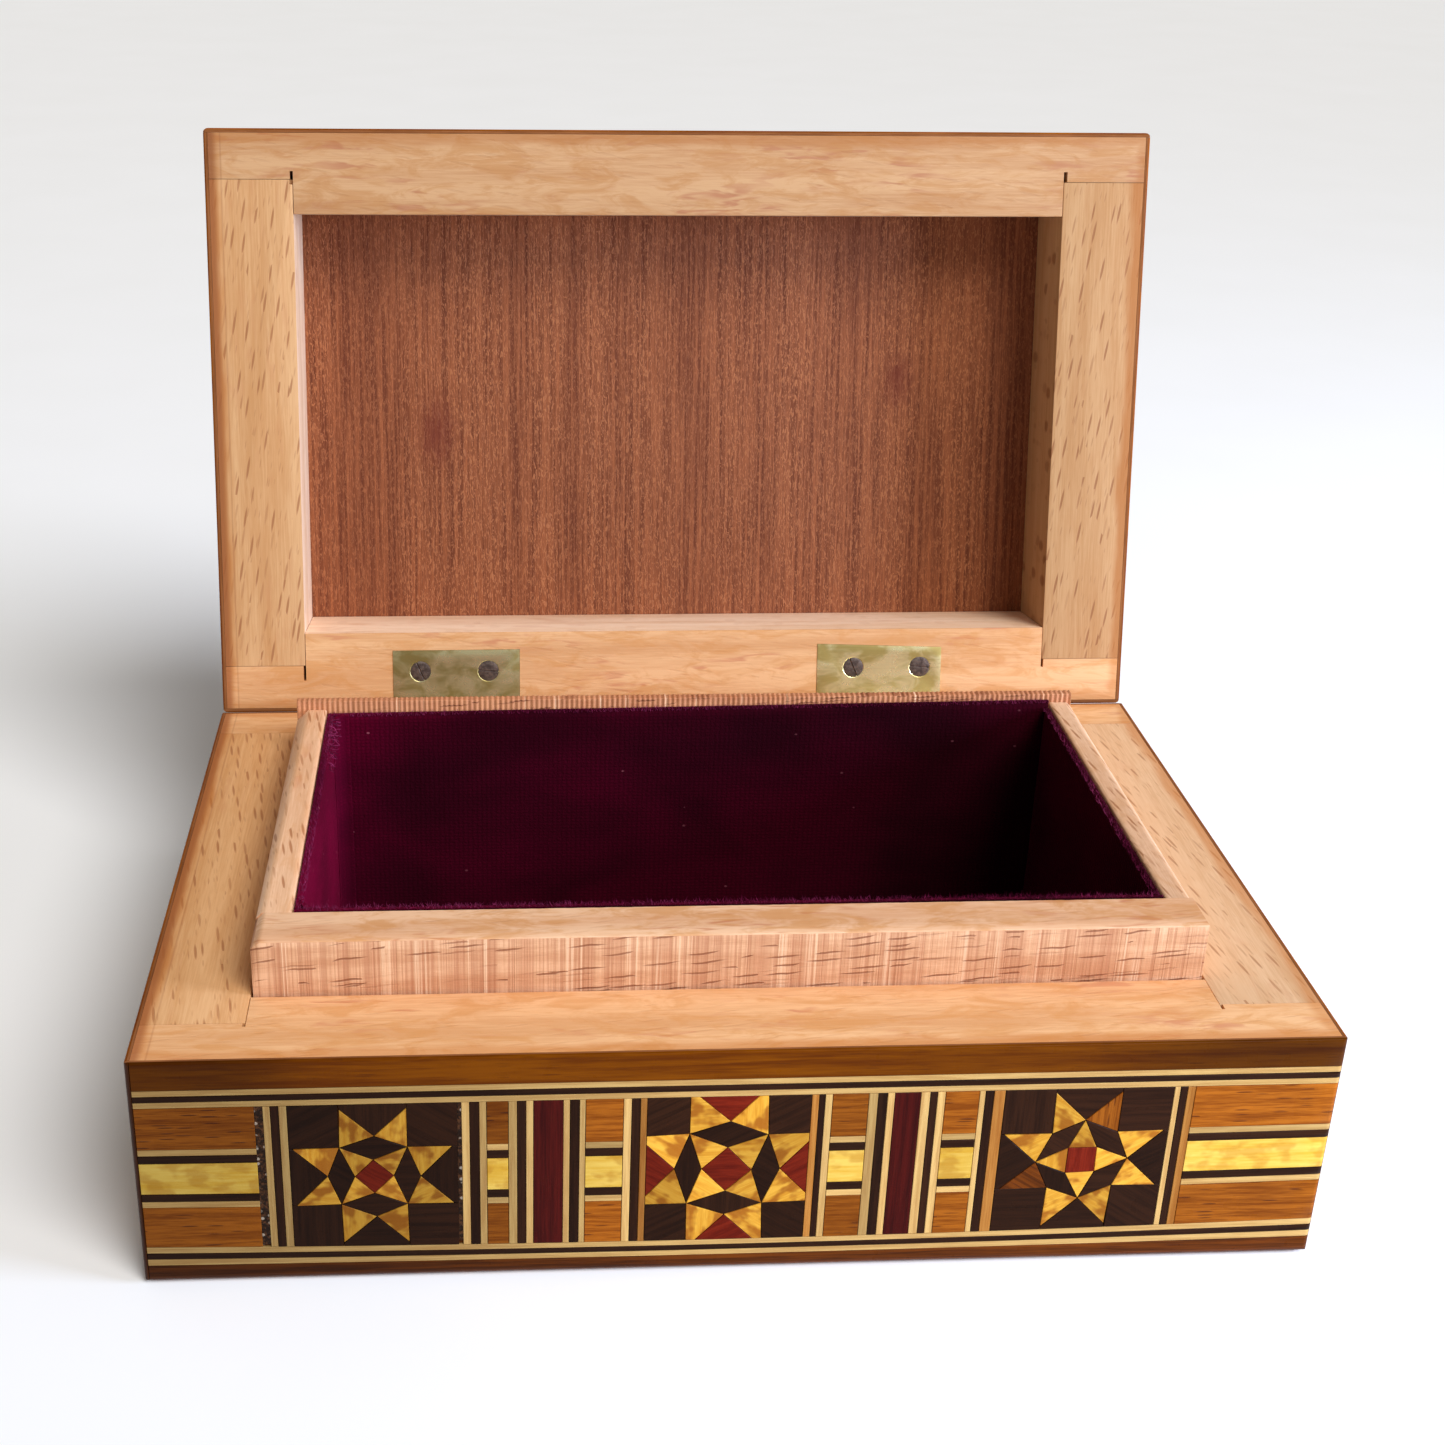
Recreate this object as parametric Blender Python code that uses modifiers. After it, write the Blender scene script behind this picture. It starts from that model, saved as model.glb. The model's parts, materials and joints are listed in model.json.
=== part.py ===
"""An inlaid wooden box with a hinged lid: rabbeted beech frames, proud liner strips, velvet lining,
brass butt hinges and a marquetry veneer on each face. Metres, +Z up; the origin is the middle of the
underside, +X runs along the hinge and -Y is the front. The lid stands open."""
import math

import bmesh
import bpy
from mathutils import Matrix, Vector

MM = 0.001

# Outer size
WIDTH = 0.180
DEPTH = 0.1125
RIM_Z = 0.0408  # height of the base's rim
OPEN_ANGLE = math.radians(102.3)  # the lid's angle from closed

# Clearances
GAP = 0.0003  # between pieces that touch
LID_GAP = 0.0005  # between the closed lid and the rim

# Frames of the base and the lid
SKIN = 0.0008  # marquetry veneer
BACKING = SKIN + GAP  # from the outside to the beech
WALL = 0.0160  # front and back walls, with their veneer
SIDE_WALL = 0.0164
LID_RAIL = 0.0158
TONGUE = 0.0091  # what the rabbet leaves of a rail's end, with its veneer
NICK_WIDTH = 0.0006  # saw kerf that ran past the rabbet's corner
NICK_DEPTH = 0.0012
BOTTOM_BOARD = 0.0040
LID_FRAME = 0.0166
LID_BOARD = 0.0039

# Liner strips and velvet
LINER_RISE = 0.0095  # above the rim
BACK_STRIP_RISE = 0.0112
LINER_GAP = 0.0004
LINER_FRONT = 0.0080
LINER_BACK = 0.0022
LINER_LEFT = 0.0055
LINER_RIGHT = 0.0043
LINER_BEVEL = 0.0016
VELVET = 0.0012
VELVET_RISE = 0.0091  # above the rim
VELVET_BACK_RISE = 0.0097

# Hinges
HINGE_LENGTH = 0.0250
HINGE_X = {"left": -0.0439, "right": 0.0406}
LEAF = 0.0008  # thickness
LEAF_PROUD = 0.0001
LEAF_WIDTH = 0.0123  # from the box's back edge
KNUCKLE_RADIUS = 0.0018
MIDDLE_KNUCKLE = 0.0084
PIN_RADIUS = 0.0007
AXIS_Y = DEPTH / 2 + 0.0002
AXIS_Z = RIM_Z - 0.0009
SCREW_SPACING = 0.0134
SCREW_SHIFT = {"left": -0.0004, "right": 0.0015}  # from the middle of the hinge
SCREW_INSET = 0.0080  # from the box's back edge
SCREW_HEAD = 0.0023  # radius
SCREW_SHANK = 0.0011
SCREW_CONE = 0.0009
SCREW_LENGTH = 0.0075
SLOT = 0.0005
ROUND_STEPS = 12

# Marquetry: heights of border, stringing, field, stringing and border, upwards
BASE_BANDS = (0.0035, 0.0035, 0.0255, 0.0031, 0.0052)
# The front's field from left to right: each piece and where it starts and ends, in mm
FRONT_FIELD = (
    ("left_end_block", 0.0, 18.2),
    ("left_stringing", 19.4, 22.9),
    ("left_star", 22.9, 47.7),
    ("left_line_panel", 48.3, 75.7),
    ("middle_star", 75.7, 100.1),
    ("right_line_panel", 100.1, 129.1),
    ("right_star", 129.1, 154.7),
    ("right_stringing", 154.7, 157.9),
    ("right_end_block", 157.9, 180.0),
)
TOP_BORDER = 0.0060
TOP_FRIEZE = 0.0156  # with the stringing on both its sides

SAPELE = ((0.30, 0.10, 0.05), 0.55, 0.0)
BEECH = ((0.72, 0.42, 0.20), 0.50, 0.0)
VELVET_PILE = ((0.05, 0.0, 0.015), 0.95, 0.0)
BRASS = ((0.60, 0.50, 0.20), 0.30, 1.0)
STEEL = ((0.15, 0.12, 0.10), 0.45, 1.0)
BORDER_WOOD = ((0.20, 0.06, 0.012), 0.30, 0.0)
STRINGING = ((0.62, 0.42, 0.18), 0.35, 0.0)
MAHOGANY = ((0.38, 0.11, 0.02), 0.35, 0.0)
MAROON = ((0.10, 0.01, 0.01), 0.30, 0.0)
STAR_BLOCK = ((0.05, 0.025, 0.015), 0.30, 0.0)
FIELD_LOOKS = {"block": MAHOGANY, "stringing": STRINGING, "star": STAR_BLOCK, "panel": MAROON}


# ---------------------------------------------------------------- scene and objects
def clear_scene():
    for obj in list(bpy.data.objects):
        bpy.data.objects.remove(obj, do_unlink=True)


def make_collection(name):
    coll = bpy.data.collections.new(name)
    bpy.context.scene.collection.children.link(coll)
    return coll


clear_scene()
PARTS = make_collection("inlaid_box")
CUTTERS = make_collection("cutters")


def make_hinge_axis():
    """The empty that carries the lid: it stands on the hinge axis, turned to the lid's open angle."""
    axis = bpy.data.objects.new("lid_axis", None)
    axis.location = (0, AXIS_Y, AXIS_Z)
    axis.rotation_euler = (-OPEN_ANGLE, 0, 0)
    axis.empty_display_size = 0.02
    PARTS.objects.link(axis)
    return axis


LID_AXIS = make_hinge_axis()


def make_material(name, look):
    colour, roughness, metallic = look
    material = bpy.data.materials.new(name)
    material.use_nodes = True
    shader = material.node_tree.nodes["Principled BSDF"]
    shader.inputs["Base Color"].default_value = (*colour, 1.0)
    shader.inputs["Roughness"].default_value = roughness
    shader.inputs["Metallic"].default_value = metallic
    return material


def add_object(name, mesh, on_lid=False, collection=PARTS):
    """Everything is drawn with the lid closed; what is on the lid then hangs from the hinge axis."""
    obj = bpy.data.objects.new(name, mesh)
    if on_lid:
        mesh.transform(Matrix.Translation((0, -AXIS_Y, -AXIS_Z)))
        obj.parent = LID_AXIS
    collection.objects.link(obj)
    return obj


def add_part(name, mesh, look, on_lid=False):
    part = add_object(name, mesh, on_lid)
    part.data.materials.append(make_material(name, look))
    return part


def add_cutter(name, mesh, on_lid=False):
    cutter = add_object(name, mesh, on_lid, CUTTERS)
    cutter.hide_render = True
    cutter.display_type = "WIRE"
    return cutter


def add_boolean(part, other, operation="DIFFERENCE"):
    modifier = part.modifiers.new(other.name, "BOOLEAN")
    modifier.operation = operation
    modifier.solver = "EXACT"
    modifier.object = other


# ---------------------------------------------------------------- meshes
def mesh_from(name, build):
    bm = bmesh.new()
    build(bm)
    mesh = bpy.data.meshes.new(name)
    bm.to_mesh(mesh)
    bm.free()
    return mesh


def add_box(bm, low, high):
    low = Vector(low)
    high = Vector(high)
    size = high - low
    bmesh.ops.create_cube(bm, size=1, matrix=Matrix.LocRotScale((low + high) / 2, None, size))


def box_mesh(name, low, high):
    return mesh_from(name, lambda bm: add_box(bm, low, high))


def add_rod(bm, centre, axis, length, radius_1, radius_2=None, steps=ROUND_STEPS):
    """A closed cylinder or cone; its first radius is at the lower end of the axis."""
    turn = Vector((0, 0, 1)).rotation_difference(Vector(axis))
    bmesh.ops.create_cone(
        bm,
        cap_ends=True,
        segments=steps,
        radius1=radius_1,
        radius2=radius_1 if radius_2 is None else radius_2,
        depth=length,
        matrix=Matrix.LocRotScale(Vector(centre), turn, None),
    )


def outline_mesh(outlines, thickness):
    """Flat outlines in the XY plane, each extruded to its own closed body about the plane."""
    curve = bpy.data.curves.new("outline", "CURVE")
    curve.dimensions = "2D"
    curve.fill_mode = "BOTH"
    curve.extrude = thickness / 2
    for outline in outlines:
        spline = curve.splines.new("POLY")
        spline.points.add(len(outline) - 1)
        spline.use_cyclic_u = True
        for point, (x, y) in zip(spline.points, outline):
            point.co = (x, y, 0, 1)
    holder = bpy.data.objects.new("outline", curve)
    PARTS.objects.link(holder)
    evaluated = holder.evaluated_get(bpy.context.evaluated_depsgraph_get())
    mesh = bpy.data.meshes.new_from_object(evaluated)
    bpy.data.objects.remove(holder, do_unlink=True)
    bpy.data.curves.remove(curve)
    return mesh


def solids_mesh(name, placed_outlines, thickness):
    """One mesh of closed bodies from (matrix, outlines) pairs."""

    def build(bm):
        for matrix, outlines in placed_outlines:
            flat = outline_mesh(outlines, thickness)
            flat.transform(matrix)
            bm.from_mesh(flat)
            bpy.data.meshes.remove(flat)
        bmesh.ops.remove_doubles(bm, verts=bm.verts, dist=1e-6)
        bmesh.ops.recalc_face_normals(bm, faces=bm.faces)

    return mesh_from(name, build)


# ---------------------------------------------------------------- frames
def rail_outline(half_length, shoulder, outer, tongue, inner):
    """A rail seen from above: full-width tongue outside, shoulders inside, a saw nick in each corner."""
    nick = tongue + math.copysign(NICK_DEPTH, outer - inner)
    right = (
        (half_length, outer),
        (half_length, tongue),
        (shoulder + NICK_WIDTH, tongue),
        (shoulder + NICK_WIDTH, nick),
        (shoulder, nick),
        (shoulder, inner),
    )
    return right + tuple((-x, y) for x, y in reversed(right))


def make_rail(name, side, width, z_low, z_high, on_lid):
    """side is -1 for the front rail and 1 for the back one."""
    outline = rail_outline(
        WIDTH / 2 - BACKING,
        WIDTH / 2 - SIDE_WALL - GAP,
        side * (DEPTH / 2 - BACKING),
        side * (DEPTH / 2 - TONGUE),
        side * (DEPTH / 2 - width),
    )
    place = Matrix.Translation((0, 0, (z_low + z_high) / 2))
    mesh = solids_mesh(name, [(place, [outline])], z_high - z_low)
    return add_part(name, mesh, BEECH, on_lid)


def make_stile(name, side, z_low, z_high, on_lid):
    inner = side * (WIDTH / 2 - SIDE_WALL)
    outer = side * (WIDTH / 2 - BACKING)
    reach = DEPTH / 2 - TONGUE - GAP
    low = (min(inner, outer), -reach, z_low)
    high = (max(inner, outer), reach, z_high)
    return add_part(name, box_mesh(name, low, high), BEECH, on_lid)


def make_base_frame():
    low = BOTTOM_BOARD + GAP
    make_rail("base_front_wall", -1, WALL, low, RIM_Z, False)
    back = make_rail("base_back_wall", 1, WALL, low, RIM_Z, False)
    make_stile("base_left_wall", -1, low, RIM_Z, False)
    make_stile("base_right_wall", 1, low, RIM_Z, False)
    half = Vector((WIDTH / 2 - BACKING, DEPTH / 2 - BACKING, 0))
    board = box_mesh("base_bottom_board", -half, half + Vector((0, 0, BOTTOM_BOARD)))
    add_part("base_bottom_board", board, SAPELE)
    return back


def make_lid_frame():
    low = RIM_Z + LID_GAP
    high = low + LID_FRAME
    make_rail("lid_front_rail", -1, LID_RAIL, low, high, True)
    back = make_rail("lid_back_rail", 1, LID_RAIL, low, high, True)
    make_stile("lid_left_stile", -1, low, high, True)
    make_stile("lid_right_stile", 1, low, high, True)
    corner = Vector((WIDTH / 2 - BACKING, DEPTH / 2 - BACKING, high + GAP))
    opposite = Vector((-corner.x, -corner.y, high + GAP + LID_BOARD))
    low_corner = (opposite.x, opposite.y, corner.z)
    high_corner = (corner.x, corner.y, opposite.z)
    add_part("lid_panel", box_mesh("lid_panel", low_corner, high_corner), SAPELE, True)
    return back


# ---------------------------------------------------------------- liner and velvet
LINER_X = WIDTH / 2 - SIDE_WALL - LINER_GAP
LINER_Y = DEPTH / 2 - WALL - LINER_GAP
LINER_LOW = BOTTOM_BOARD + GAP
LINER_TOP = RIM_Z + LINER_RISE


def make_side_liner(name, side, thickness, y_low, y_high):
    """A strip whose outer top edge is bevelled; its section is extruded along Y."""
    outer = side * LINER_X
    inner = side * (LINER_X - thickness)
    section = (
        (outer, LINER_LOW),
        (inner, LINER_LOW),
        (inner, LINER_TOP),
        (outer - side * LINER_BEVEL, LINER_TOP),
        (outer, LINER_TOP - LINER_BEVEL),
    )
    stand = Matrix.Translation((0, (y_low + y_high) / 2, 0)) @ Matrix.Rotation(math.pi / 2, 4, "X")
    mesh = solids_mesh(name, [(stand, [section])], y_high - y_low)
    add_part(name, mesh, BEECH)


def make_liner():
    front_inner = -LINER_Y + LINER_FRONT
    back_inner = LINER_Y - LINER_BACK
    front = box_mesh("f", (-LINER_X, -LINER_Y, LINER_LOW), (LINER_X, front_inner, LINER_TOP))
    back_top = RIM_Z + BACK_STRIP_RISE
    back = box_mesh("b", (-LINER_X, back_inner, LINER_LOW), (LINER_X, LINER_Y, back_top))
    add_part("liner_front_strip", front, BEECH)
    add_part("liner_back_strip", back, BEECH)
    make_side_liner("liner_left_strip", -1, LINER_LEFT, front_inner + GAP, back_inner - GAP)
    make_side_liner("liner_right_strip", 1, LINER_RIGHT, front_inner + GAP, back_inner - GAP)
    left_inner = -LINER_X + LINER_LEFT
    right_inner = LINER_X - LINER_RIGHT
    return (left_inner, right_inner, front_inner, back_inner)


def make_velvet(inside):
    """Four panels and a floor; the front and back panels run the full length."""
    left, right, front, back = inside
    left += GAP
    right -= GAP
    front += GAP
    back -= GAP
    low = LINER_LOW + VELVET + GAP
    top = RIM_Z + VELVET_RISE
    back_top = RIM_Z + VELVET_BACK_RISE
    side_front = front + VELVET + GAP
    side_back = back - VELVET - GAP
    boxes = {
        "velvet_floor": ((left, front, LINER_LOW), (right, back, LINER_LOW + VELVET)),
        "velvet_front_panel": ((left, front, low), (right, front + VELVET, top)),
        "velvet_back_panel": ((left, back - VELVET, low), (right, back, back_top)),
        "velvet_left_panel": ((left, side_front, low), (left + VELVET, side_back, top)),
        "velvet_right_panel": ((right - VELVET, side_front, low), (right, side_back, top)),
    }
    for name, (low_corner, high_corner) in boxes.items():
        add_part(name, box_mesh(name, low_corner, high_corner), VELVET_PILE)


# ---------------------------------------------------------------- hinges
BASE_LEAF_TOP = RIM_Z + LEAF_PROUD
LID_LEAF_LOW = RIM_Z + LID_GAP - LEAF_PROUD
LEAF_EDGE_Y = DEPTH / 2 - LEAF_WIDTH
SCREW_Y = DEPTH / 2 - SCREW_INSET
OUTER_KNUCKLE = (HINGE_LENGTH - MIDDLE_KNUCKLE) / 2 - GAP


def screw_spots(side):
    x = HINGE_X[side] + SCREW_SHIFT[side]
    return (x - SCREW_SPACING / 2, x + SCREW_SPACING / 2)


def knuckle_spans(x, on_lid):
    """Where this leaf's knuckles are, as (centre, length) along X."""
    if on_lid:
        return ((x, MIDDLE_KNUCKLE),)
    reach = (HINGE_LENGTH - OUTER_KNUCKLE) / 2
    return ((x - reach, OUTER_KNUCKLE), (x + reach, OUTER_KNUCKLE))


def rods_mesh(name, spans, radius):
    def build(bm):
        for centre, length in spans:
            add_rod(bm, (centre, AXIS_Y, AXIS_Z), (1, 0, 0), length, radius, steps=16)

    return mesh_from(name, build)


def make_leaf(side, on_lid):
    x = HINGE_X[side]
    name = f"{side}_hinge_{'lid' if on_lid else 'base'}_leaf"
    top = LID_LEAF_LOW + LEAF if on_lid else BASE_LEAF_TOP
    low_corner = (x - HINGE_LENGTH / 2, LEAF_EDGE_Y, top - LEAF)
    high_corner = (x + HINGE_LENGTH / 2, AXIS_Y, top)
    leaf = add_part(name, box_mesh(name, low_corner, high_corner), BRASS, on_lid)
    others = [(centre, length + 2 * GAP) for centre, length in knuckle_spans(x, not on_lid)]
    clear = rods_mesh(f"{name}_clearance", others, KNUCKLE_RADIUS + GAP)
    add_boolean(leaf, add_cutter(f"{name}_clearance", clear, on_lid))
    own = rods_mesh(f"{name}_knuckle", knuckle_spans(x, on_lid), KNUCKLE_RADIUS)
    add_boolean(leaf, add_cutter(f"{name}_knuckle", own, on_lid), "UNION")
    bore = rods_mesh(f"{name}_bore", [(x, HINGE_LENGTH + 2 * MM)], PIN_RADIUS + GAP)
    add_boolean(leaf, add_cutter(f"{name}_bore", bore, on_lid))
    add_boolean(leaf, add_cutter(f"{name}_holes", countersinks(name, side, top, on_lid), on_lid))


def countersinks(name, side, top, on_lid):
    """Cones a gap wider than the screw heads, running a little past both faces of the leaf."""
    face = top - LEAF if on_lid else top
    inward = 1 if on_lid else -1
    past = GAP
    slope = (SCREW_HEAD - SCREW_SHANK) / SCREW_CONE
    wide = SCREW_HEAD + GAP + slope * past
    length = LEAF + 2 * past
    narrow = wide - slope * length

    def build(bm):
        for spot in screw_spots(side):
            centre = (spot, SCREW_Y, face + inward * LEAF / 2)
            add_rod(bm, centre, (0, 0, inward), length, wide, narrow)

    return mesh_from(name, build)


def make_pin(side):
    name = f"{side}_hinge_pin"
    pin = rods_mesh(name, [(HINGE_X[side], HINGE_LENGTH)], PIN_RADIUS)
    add_part(name, pin, BRASS)


def make_screws(side, on_lid):
    """Two slotted countersunk screws, each turned from its profile."""
    profile = (
        (0, 0),
        (SCREW_HEAD, 0),
        (SCREW_SHANK, -SCREW_CONE),
        (SCREW_SHANK, -SCREW_LENGTH + SCREW_SHANK),
        (0, -SCREW_LENGTH),
    )
    face = LID_LEAF_LOW if on_lid else BASE_LEAF_TOP
    turned = turned_mesh(profile)
    for number, spot in enumerate(screw_spots(side), 1):
        turn = Matrix.Rotation(math.radians(8 + 40 * number), 4, "Z")
        if on_lid:
            turn = Matrix.Rotation(math.pi, 4, "X") @ turn
        mesh = turned.copy()
        mesh.transform(Matrix.Translation((spot, SCREW_Y, face)) @ turn)
        name = f"{side}_hinge_{'lid' if on_lid else 'base'}_screw_{number}"
        add_part(name, mesh, STEEL, on_lid)
    bpy.data.meshes.remove(turned)


def turned_mesh(profile):
    """The profile turned about Z, with a screwdriver slot across its top."""
    mesh = bpy.data.meshes.new("profile")
    points = [(x, 0, z) for x, z in profile]
    mesh.from_pydata(points, [(i, i + 1) for i in range(len(points) - 1)], [])
    turned = add_object("turned", mesh)
    screw = turned.modifiers.new("turn", "SCREW")
    screw.steps = ROUND_STEPS
    screw.render_steps = ROUND_STEPS
    screw.use_merge_vertices = True
    screw.merge_threshold = 1e-5
    reach = SCREW_HEAD + MM
    slot = box_mesh("slot", (-reach, -SLOT / 2, -SLOT), (reach, SLOT / 2, MM))
    cutter = add_cutter("slot", slot)
    add_boolean(turned, cutter)
    evaluated = turned.evaluated_get(bpy.context.evaluated_depsgraph_get())
    result = bpy.data.meshes.new_from_object(evaluated)
    bpy.data.objects.remove(turned, do_unlink=True)
    bpy.data.objects.remove(cutter, do_unlink=True)
    return result


def mortise_mesh(name, side, on_lid):
    """What the hinge takes out of a rail: its bed, room for the knuckles and the screws' pilot holes."""
    bed = LEAF + GAP + MM
    if on_lid:
        z_low = LID_LEAF_LOW + LEAF + GAP - bed
    else:
        z_low = BASE_LEAF_TOP - LEAF - GAP
    face = LID_LEAF_LOW if on_lid else BASE_LEAF_TOP
    inward = 1 if on_lid else -1
    depth = SCREW_LENGTH + GAP
    x = HINGE_X[side]
    reach = HINGE_LENGTH / 2 + GAP

    def bed_box(bm):
        add_box(bm, (x - reach, LEAF_EDGE_Y - GAP, z_low), (x + reach, DEPTH / 2 + MM, z_low + bed))

    def pilots(bm):
        for spot in screw_spots(side):
            centre = (spot, SCREW_Y, face + inward * depth / 2)
            add_rod(bm, centre, (0, 0, 1), depth, SCREW_SHANK + GAP)

    def room(bm):
        radius = KNUCKLE_RADIUS + GAP
        low = (x - reach - GAP, AXIS_Y - radius, AXIS_Z - radius)
        add_box(bm, low, (x + reach + GAP, AXIS_Y + radius, AXIS_Z + radius))

    cuts = {"bed": bed_box, "pilots": pilots, "room": room}
    return [mesh_from(f"{name}_{cut}", build) for cut, build in cuts.items()]


def make_hinges(base_rail, lid_rail):
    for side in HINGE_X:
        for rail, on_lid in ((base_rail, False), (lid_rail, True)):
            for mesh in mortise_mesh(f"{side}_{rail.name}", side, on_lid):
                add_boolean(rail, add_cutter(mesh.name, mesh, on_lid))
            make_leaf(side, on_lid)
            make_screws(side, on_lid)
        make_pin(side)


# ---------------------------------------------------------------- marquetry
def side_place(side, z):
    """The middle plane of a side's veneer: its matrix has the lower left corner, seen from outside."""
    x = WIDTH / 2
    y = DEPTH / 2
    corner, along = {
        "front": ((-x, -y), (1, 0, 0)),
        "back": ((x, y), (-1, 0, 0)),
        "right": ((x, -y + BACKING), (0, 1, 0)),
        "left": ((-x, y - BACKING), (0, -1, 0)),
    }[side]
    up = Vector((0, 0, 1))
    outward = Vector(along).cross(up)
    place = Matrix((Vector(along), up, outward)).transposed().to_4x4()
    place.translation = Vector((*corner, z)) - outward * SKIN / 2
    return place


def side_width(side):
    """Front and back cover the full width; left and right fit between them."""
    return WIDTH if side in ("front", "back") else DEPTH - 2 * BACKING


def add_veneer(name, place, outline, look, on_lid=False):
    add_part(name, solids_mesh(name, [(place, [outline])], SKIN), look, on_lid)


def rectangle(u0, v0, u1, v1):
    return ((u0, v0), (u1, v0), (u1, v1), (u0, v1))


def notched_panel(width, v0, v1, depth, at_top):
    """The back's veneer, with a notch in its edge round each hinge."""
    edge_v, far_v = (v1, v0) if at_top else (v0, v1)
    notch_v = edge_v - depth if at_top else edge_v + depth
    reach = HINGE_LENGTH / 2 + 2 * GAP
    points = [(0, far_v), (0, edge_v)]
    for x in sorted(HINGE_X.values(), reverse=True):
        centre = width / 2 - x
        points += [(centre - reach, edge_v), (centre - reach, notch_v)]
        points += [(centre + reach, notch_v), (centre + reach, edge_v)]
    return tuple(points + [(width, edge_v), (width, far_v)])


def make_front_marquetry():
    """Border and stringing strips above and below a row of blocks, each a gap from the next."""
    place = side_place("front", 0)
    levels = [0]
    for height in BASE_BANDS:
        levels.append(levels[-1] + height)
    looks = (BORDER_WOOD, STRINGING, None, STRINGING, BORDER_WOOD)
    names = ("bottom_border", "lower_stringing", None, "upper_stringing", "top_border")
    for name, look, low, high in zip(names, looks, levels, levels[1:]):
        if name is None:
            field = (low + GAP, high)
        else:
            add_veneer(f"base_front_{name}", place, rectangle(0, low + GAP, WIDTH, high), look)
    for name, start, end in FRONT_FIELD:
        look = FIELD_LOOKS[name.split("_")[-1]]
        outline = rectangle(start * MM + GAP / 2, field[0], end * MM - GAP / 2, field[1])
        add_veneer(f"base_front_{name}", place, outline, look)


def make_base_marquetry():
    make_front_marquetry()
    room = KNUCKLE_RADIUS + GAP + RIM_Z - AXIS_Z
    back = notched_panel(WIDTH, GAP, RIM_Z, room, True)
    add_veneer("base_back_marquetry", side_place("back", 0), back, BORDER_WOOD)
    for side in ("left", "right"):
        outline = rectangle(0, GAP, side_width(side), RIM_Z)
        add_veneer(f"base_{side}_marquetry", side_place(side, 0), outline, BORDER_WOOD)


def frame_mesh(name, outer, inner, z):
    """A flat frame about the middle of the lid's top; the sizes are half widths."""
    opening = box_mesh(name, (-inner[0], -inner[1], z - MM), (*inner, z + MM))
    cutter = add_cutter(f"{name}_opening", opening, True)
    half = SKIN / 2
    return box_mesh(name, (-outer[0], -outer[1], z - half), (*outer, z + half)), cutter


def make_top_marquetry(z):
    """From the outside in: a border frame, a frieze frame and the star panel."""
    half = (WIDTH / 2, DEPTH / 2)
    for name, width, look in (("border", TOP_BORDER, BORDER_WOOD), ("frieze", TOP_FRIEZE, MAHOGANY)):
        inner = (half[0] - width, half[1] - width)
        mesh, cutter = frame_mesh(f"lid_top_{name}", half, inner, z)
        add_boolean(add_part(f"lid_top_{name}", mesh, look, True), cutter)
        half = (inner[0] - GAP, inner[1] - GAP)
    panel = rectangle(-half[0], -half[1], *half)
    add_veneer("lid_top_star_panel", Matrix.Translation((0, 0, z)), panel, STAR_BLOCK, True)


def make_lid_marquetry():
    low = RIM_Z + LID_GAP
    height = LID_FRAME + GAP + LID_BOARD
    room = KNUCKLE_RADIUS + GAP - (RIM_Z - AXIS_Z) - LID_GAP
    for side in ("front", "back", "left", "right"):
        outline = rectangle(0, 0, side_width(side), height)
        if side == "back":
            outline = notched_panel(WIDTH, 0, height, room, False)
        add_veneer(f"lid_{side}_marquetry", side_place(side, low), outline, BORDER_WOOD, True)
    make_top_marquetry(low + height + GAP + SKIN / 2)


def main():
    base_rail = make_base_frame()
    lid_rail = make_lid_frame()
    make_velvet(make_liner())
    make_hinges(base_rail, lid_rail)
    make_base_marquetry()
    make_lid_marquetry()


main()
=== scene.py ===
"""Looks of the inlaid wooden box: beech frames with saw nicks, sawn liner strips, a velvet lining, brass
hinges and marquetry of separate tiles under lacquer. Metres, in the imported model's frame. Pieces of the lid
are drawn with the lid shut and then turned to where it stands open."""
import json
import math
import random

import bmesh
import bpy
from mathutils import Matrix, Vector, noise

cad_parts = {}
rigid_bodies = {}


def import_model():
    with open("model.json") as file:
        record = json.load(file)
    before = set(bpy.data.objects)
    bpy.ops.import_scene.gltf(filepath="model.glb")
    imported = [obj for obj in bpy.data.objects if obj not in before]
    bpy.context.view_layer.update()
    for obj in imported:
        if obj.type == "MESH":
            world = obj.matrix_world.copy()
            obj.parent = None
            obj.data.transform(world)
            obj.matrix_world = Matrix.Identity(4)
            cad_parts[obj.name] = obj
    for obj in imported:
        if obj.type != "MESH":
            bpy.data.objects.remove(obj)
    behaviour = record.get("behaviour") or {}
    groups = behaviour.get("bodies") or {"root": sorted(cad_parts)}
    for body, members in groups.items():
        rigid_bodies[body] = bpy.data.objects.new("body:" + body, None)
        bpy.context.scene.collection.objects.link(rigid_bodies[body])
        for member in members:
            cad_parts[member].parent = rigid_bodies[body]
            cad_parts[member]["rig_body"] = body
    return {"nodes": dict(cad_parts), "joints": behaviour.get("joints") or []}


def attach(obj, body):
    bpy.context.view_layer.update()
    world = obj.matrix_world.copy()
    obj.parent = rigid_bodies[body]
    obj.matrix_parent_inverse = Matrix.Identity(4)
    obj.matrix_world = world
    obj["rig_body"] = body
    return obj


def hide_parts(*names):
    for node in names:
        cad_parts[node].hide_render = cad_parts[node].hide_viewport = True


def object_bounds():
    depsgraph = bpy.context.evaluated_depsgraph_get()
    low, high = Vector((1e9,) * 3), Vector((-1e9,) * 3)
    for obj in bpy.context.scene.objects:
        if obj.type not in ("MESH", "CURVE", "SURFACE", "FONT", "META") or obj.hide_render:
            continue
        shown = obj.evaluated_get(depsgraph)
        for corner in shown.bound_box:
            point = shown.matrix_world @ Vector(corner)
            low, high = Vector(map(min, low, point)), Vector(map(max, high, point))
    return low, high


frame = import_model()
CAD_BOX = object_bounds()

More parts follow.
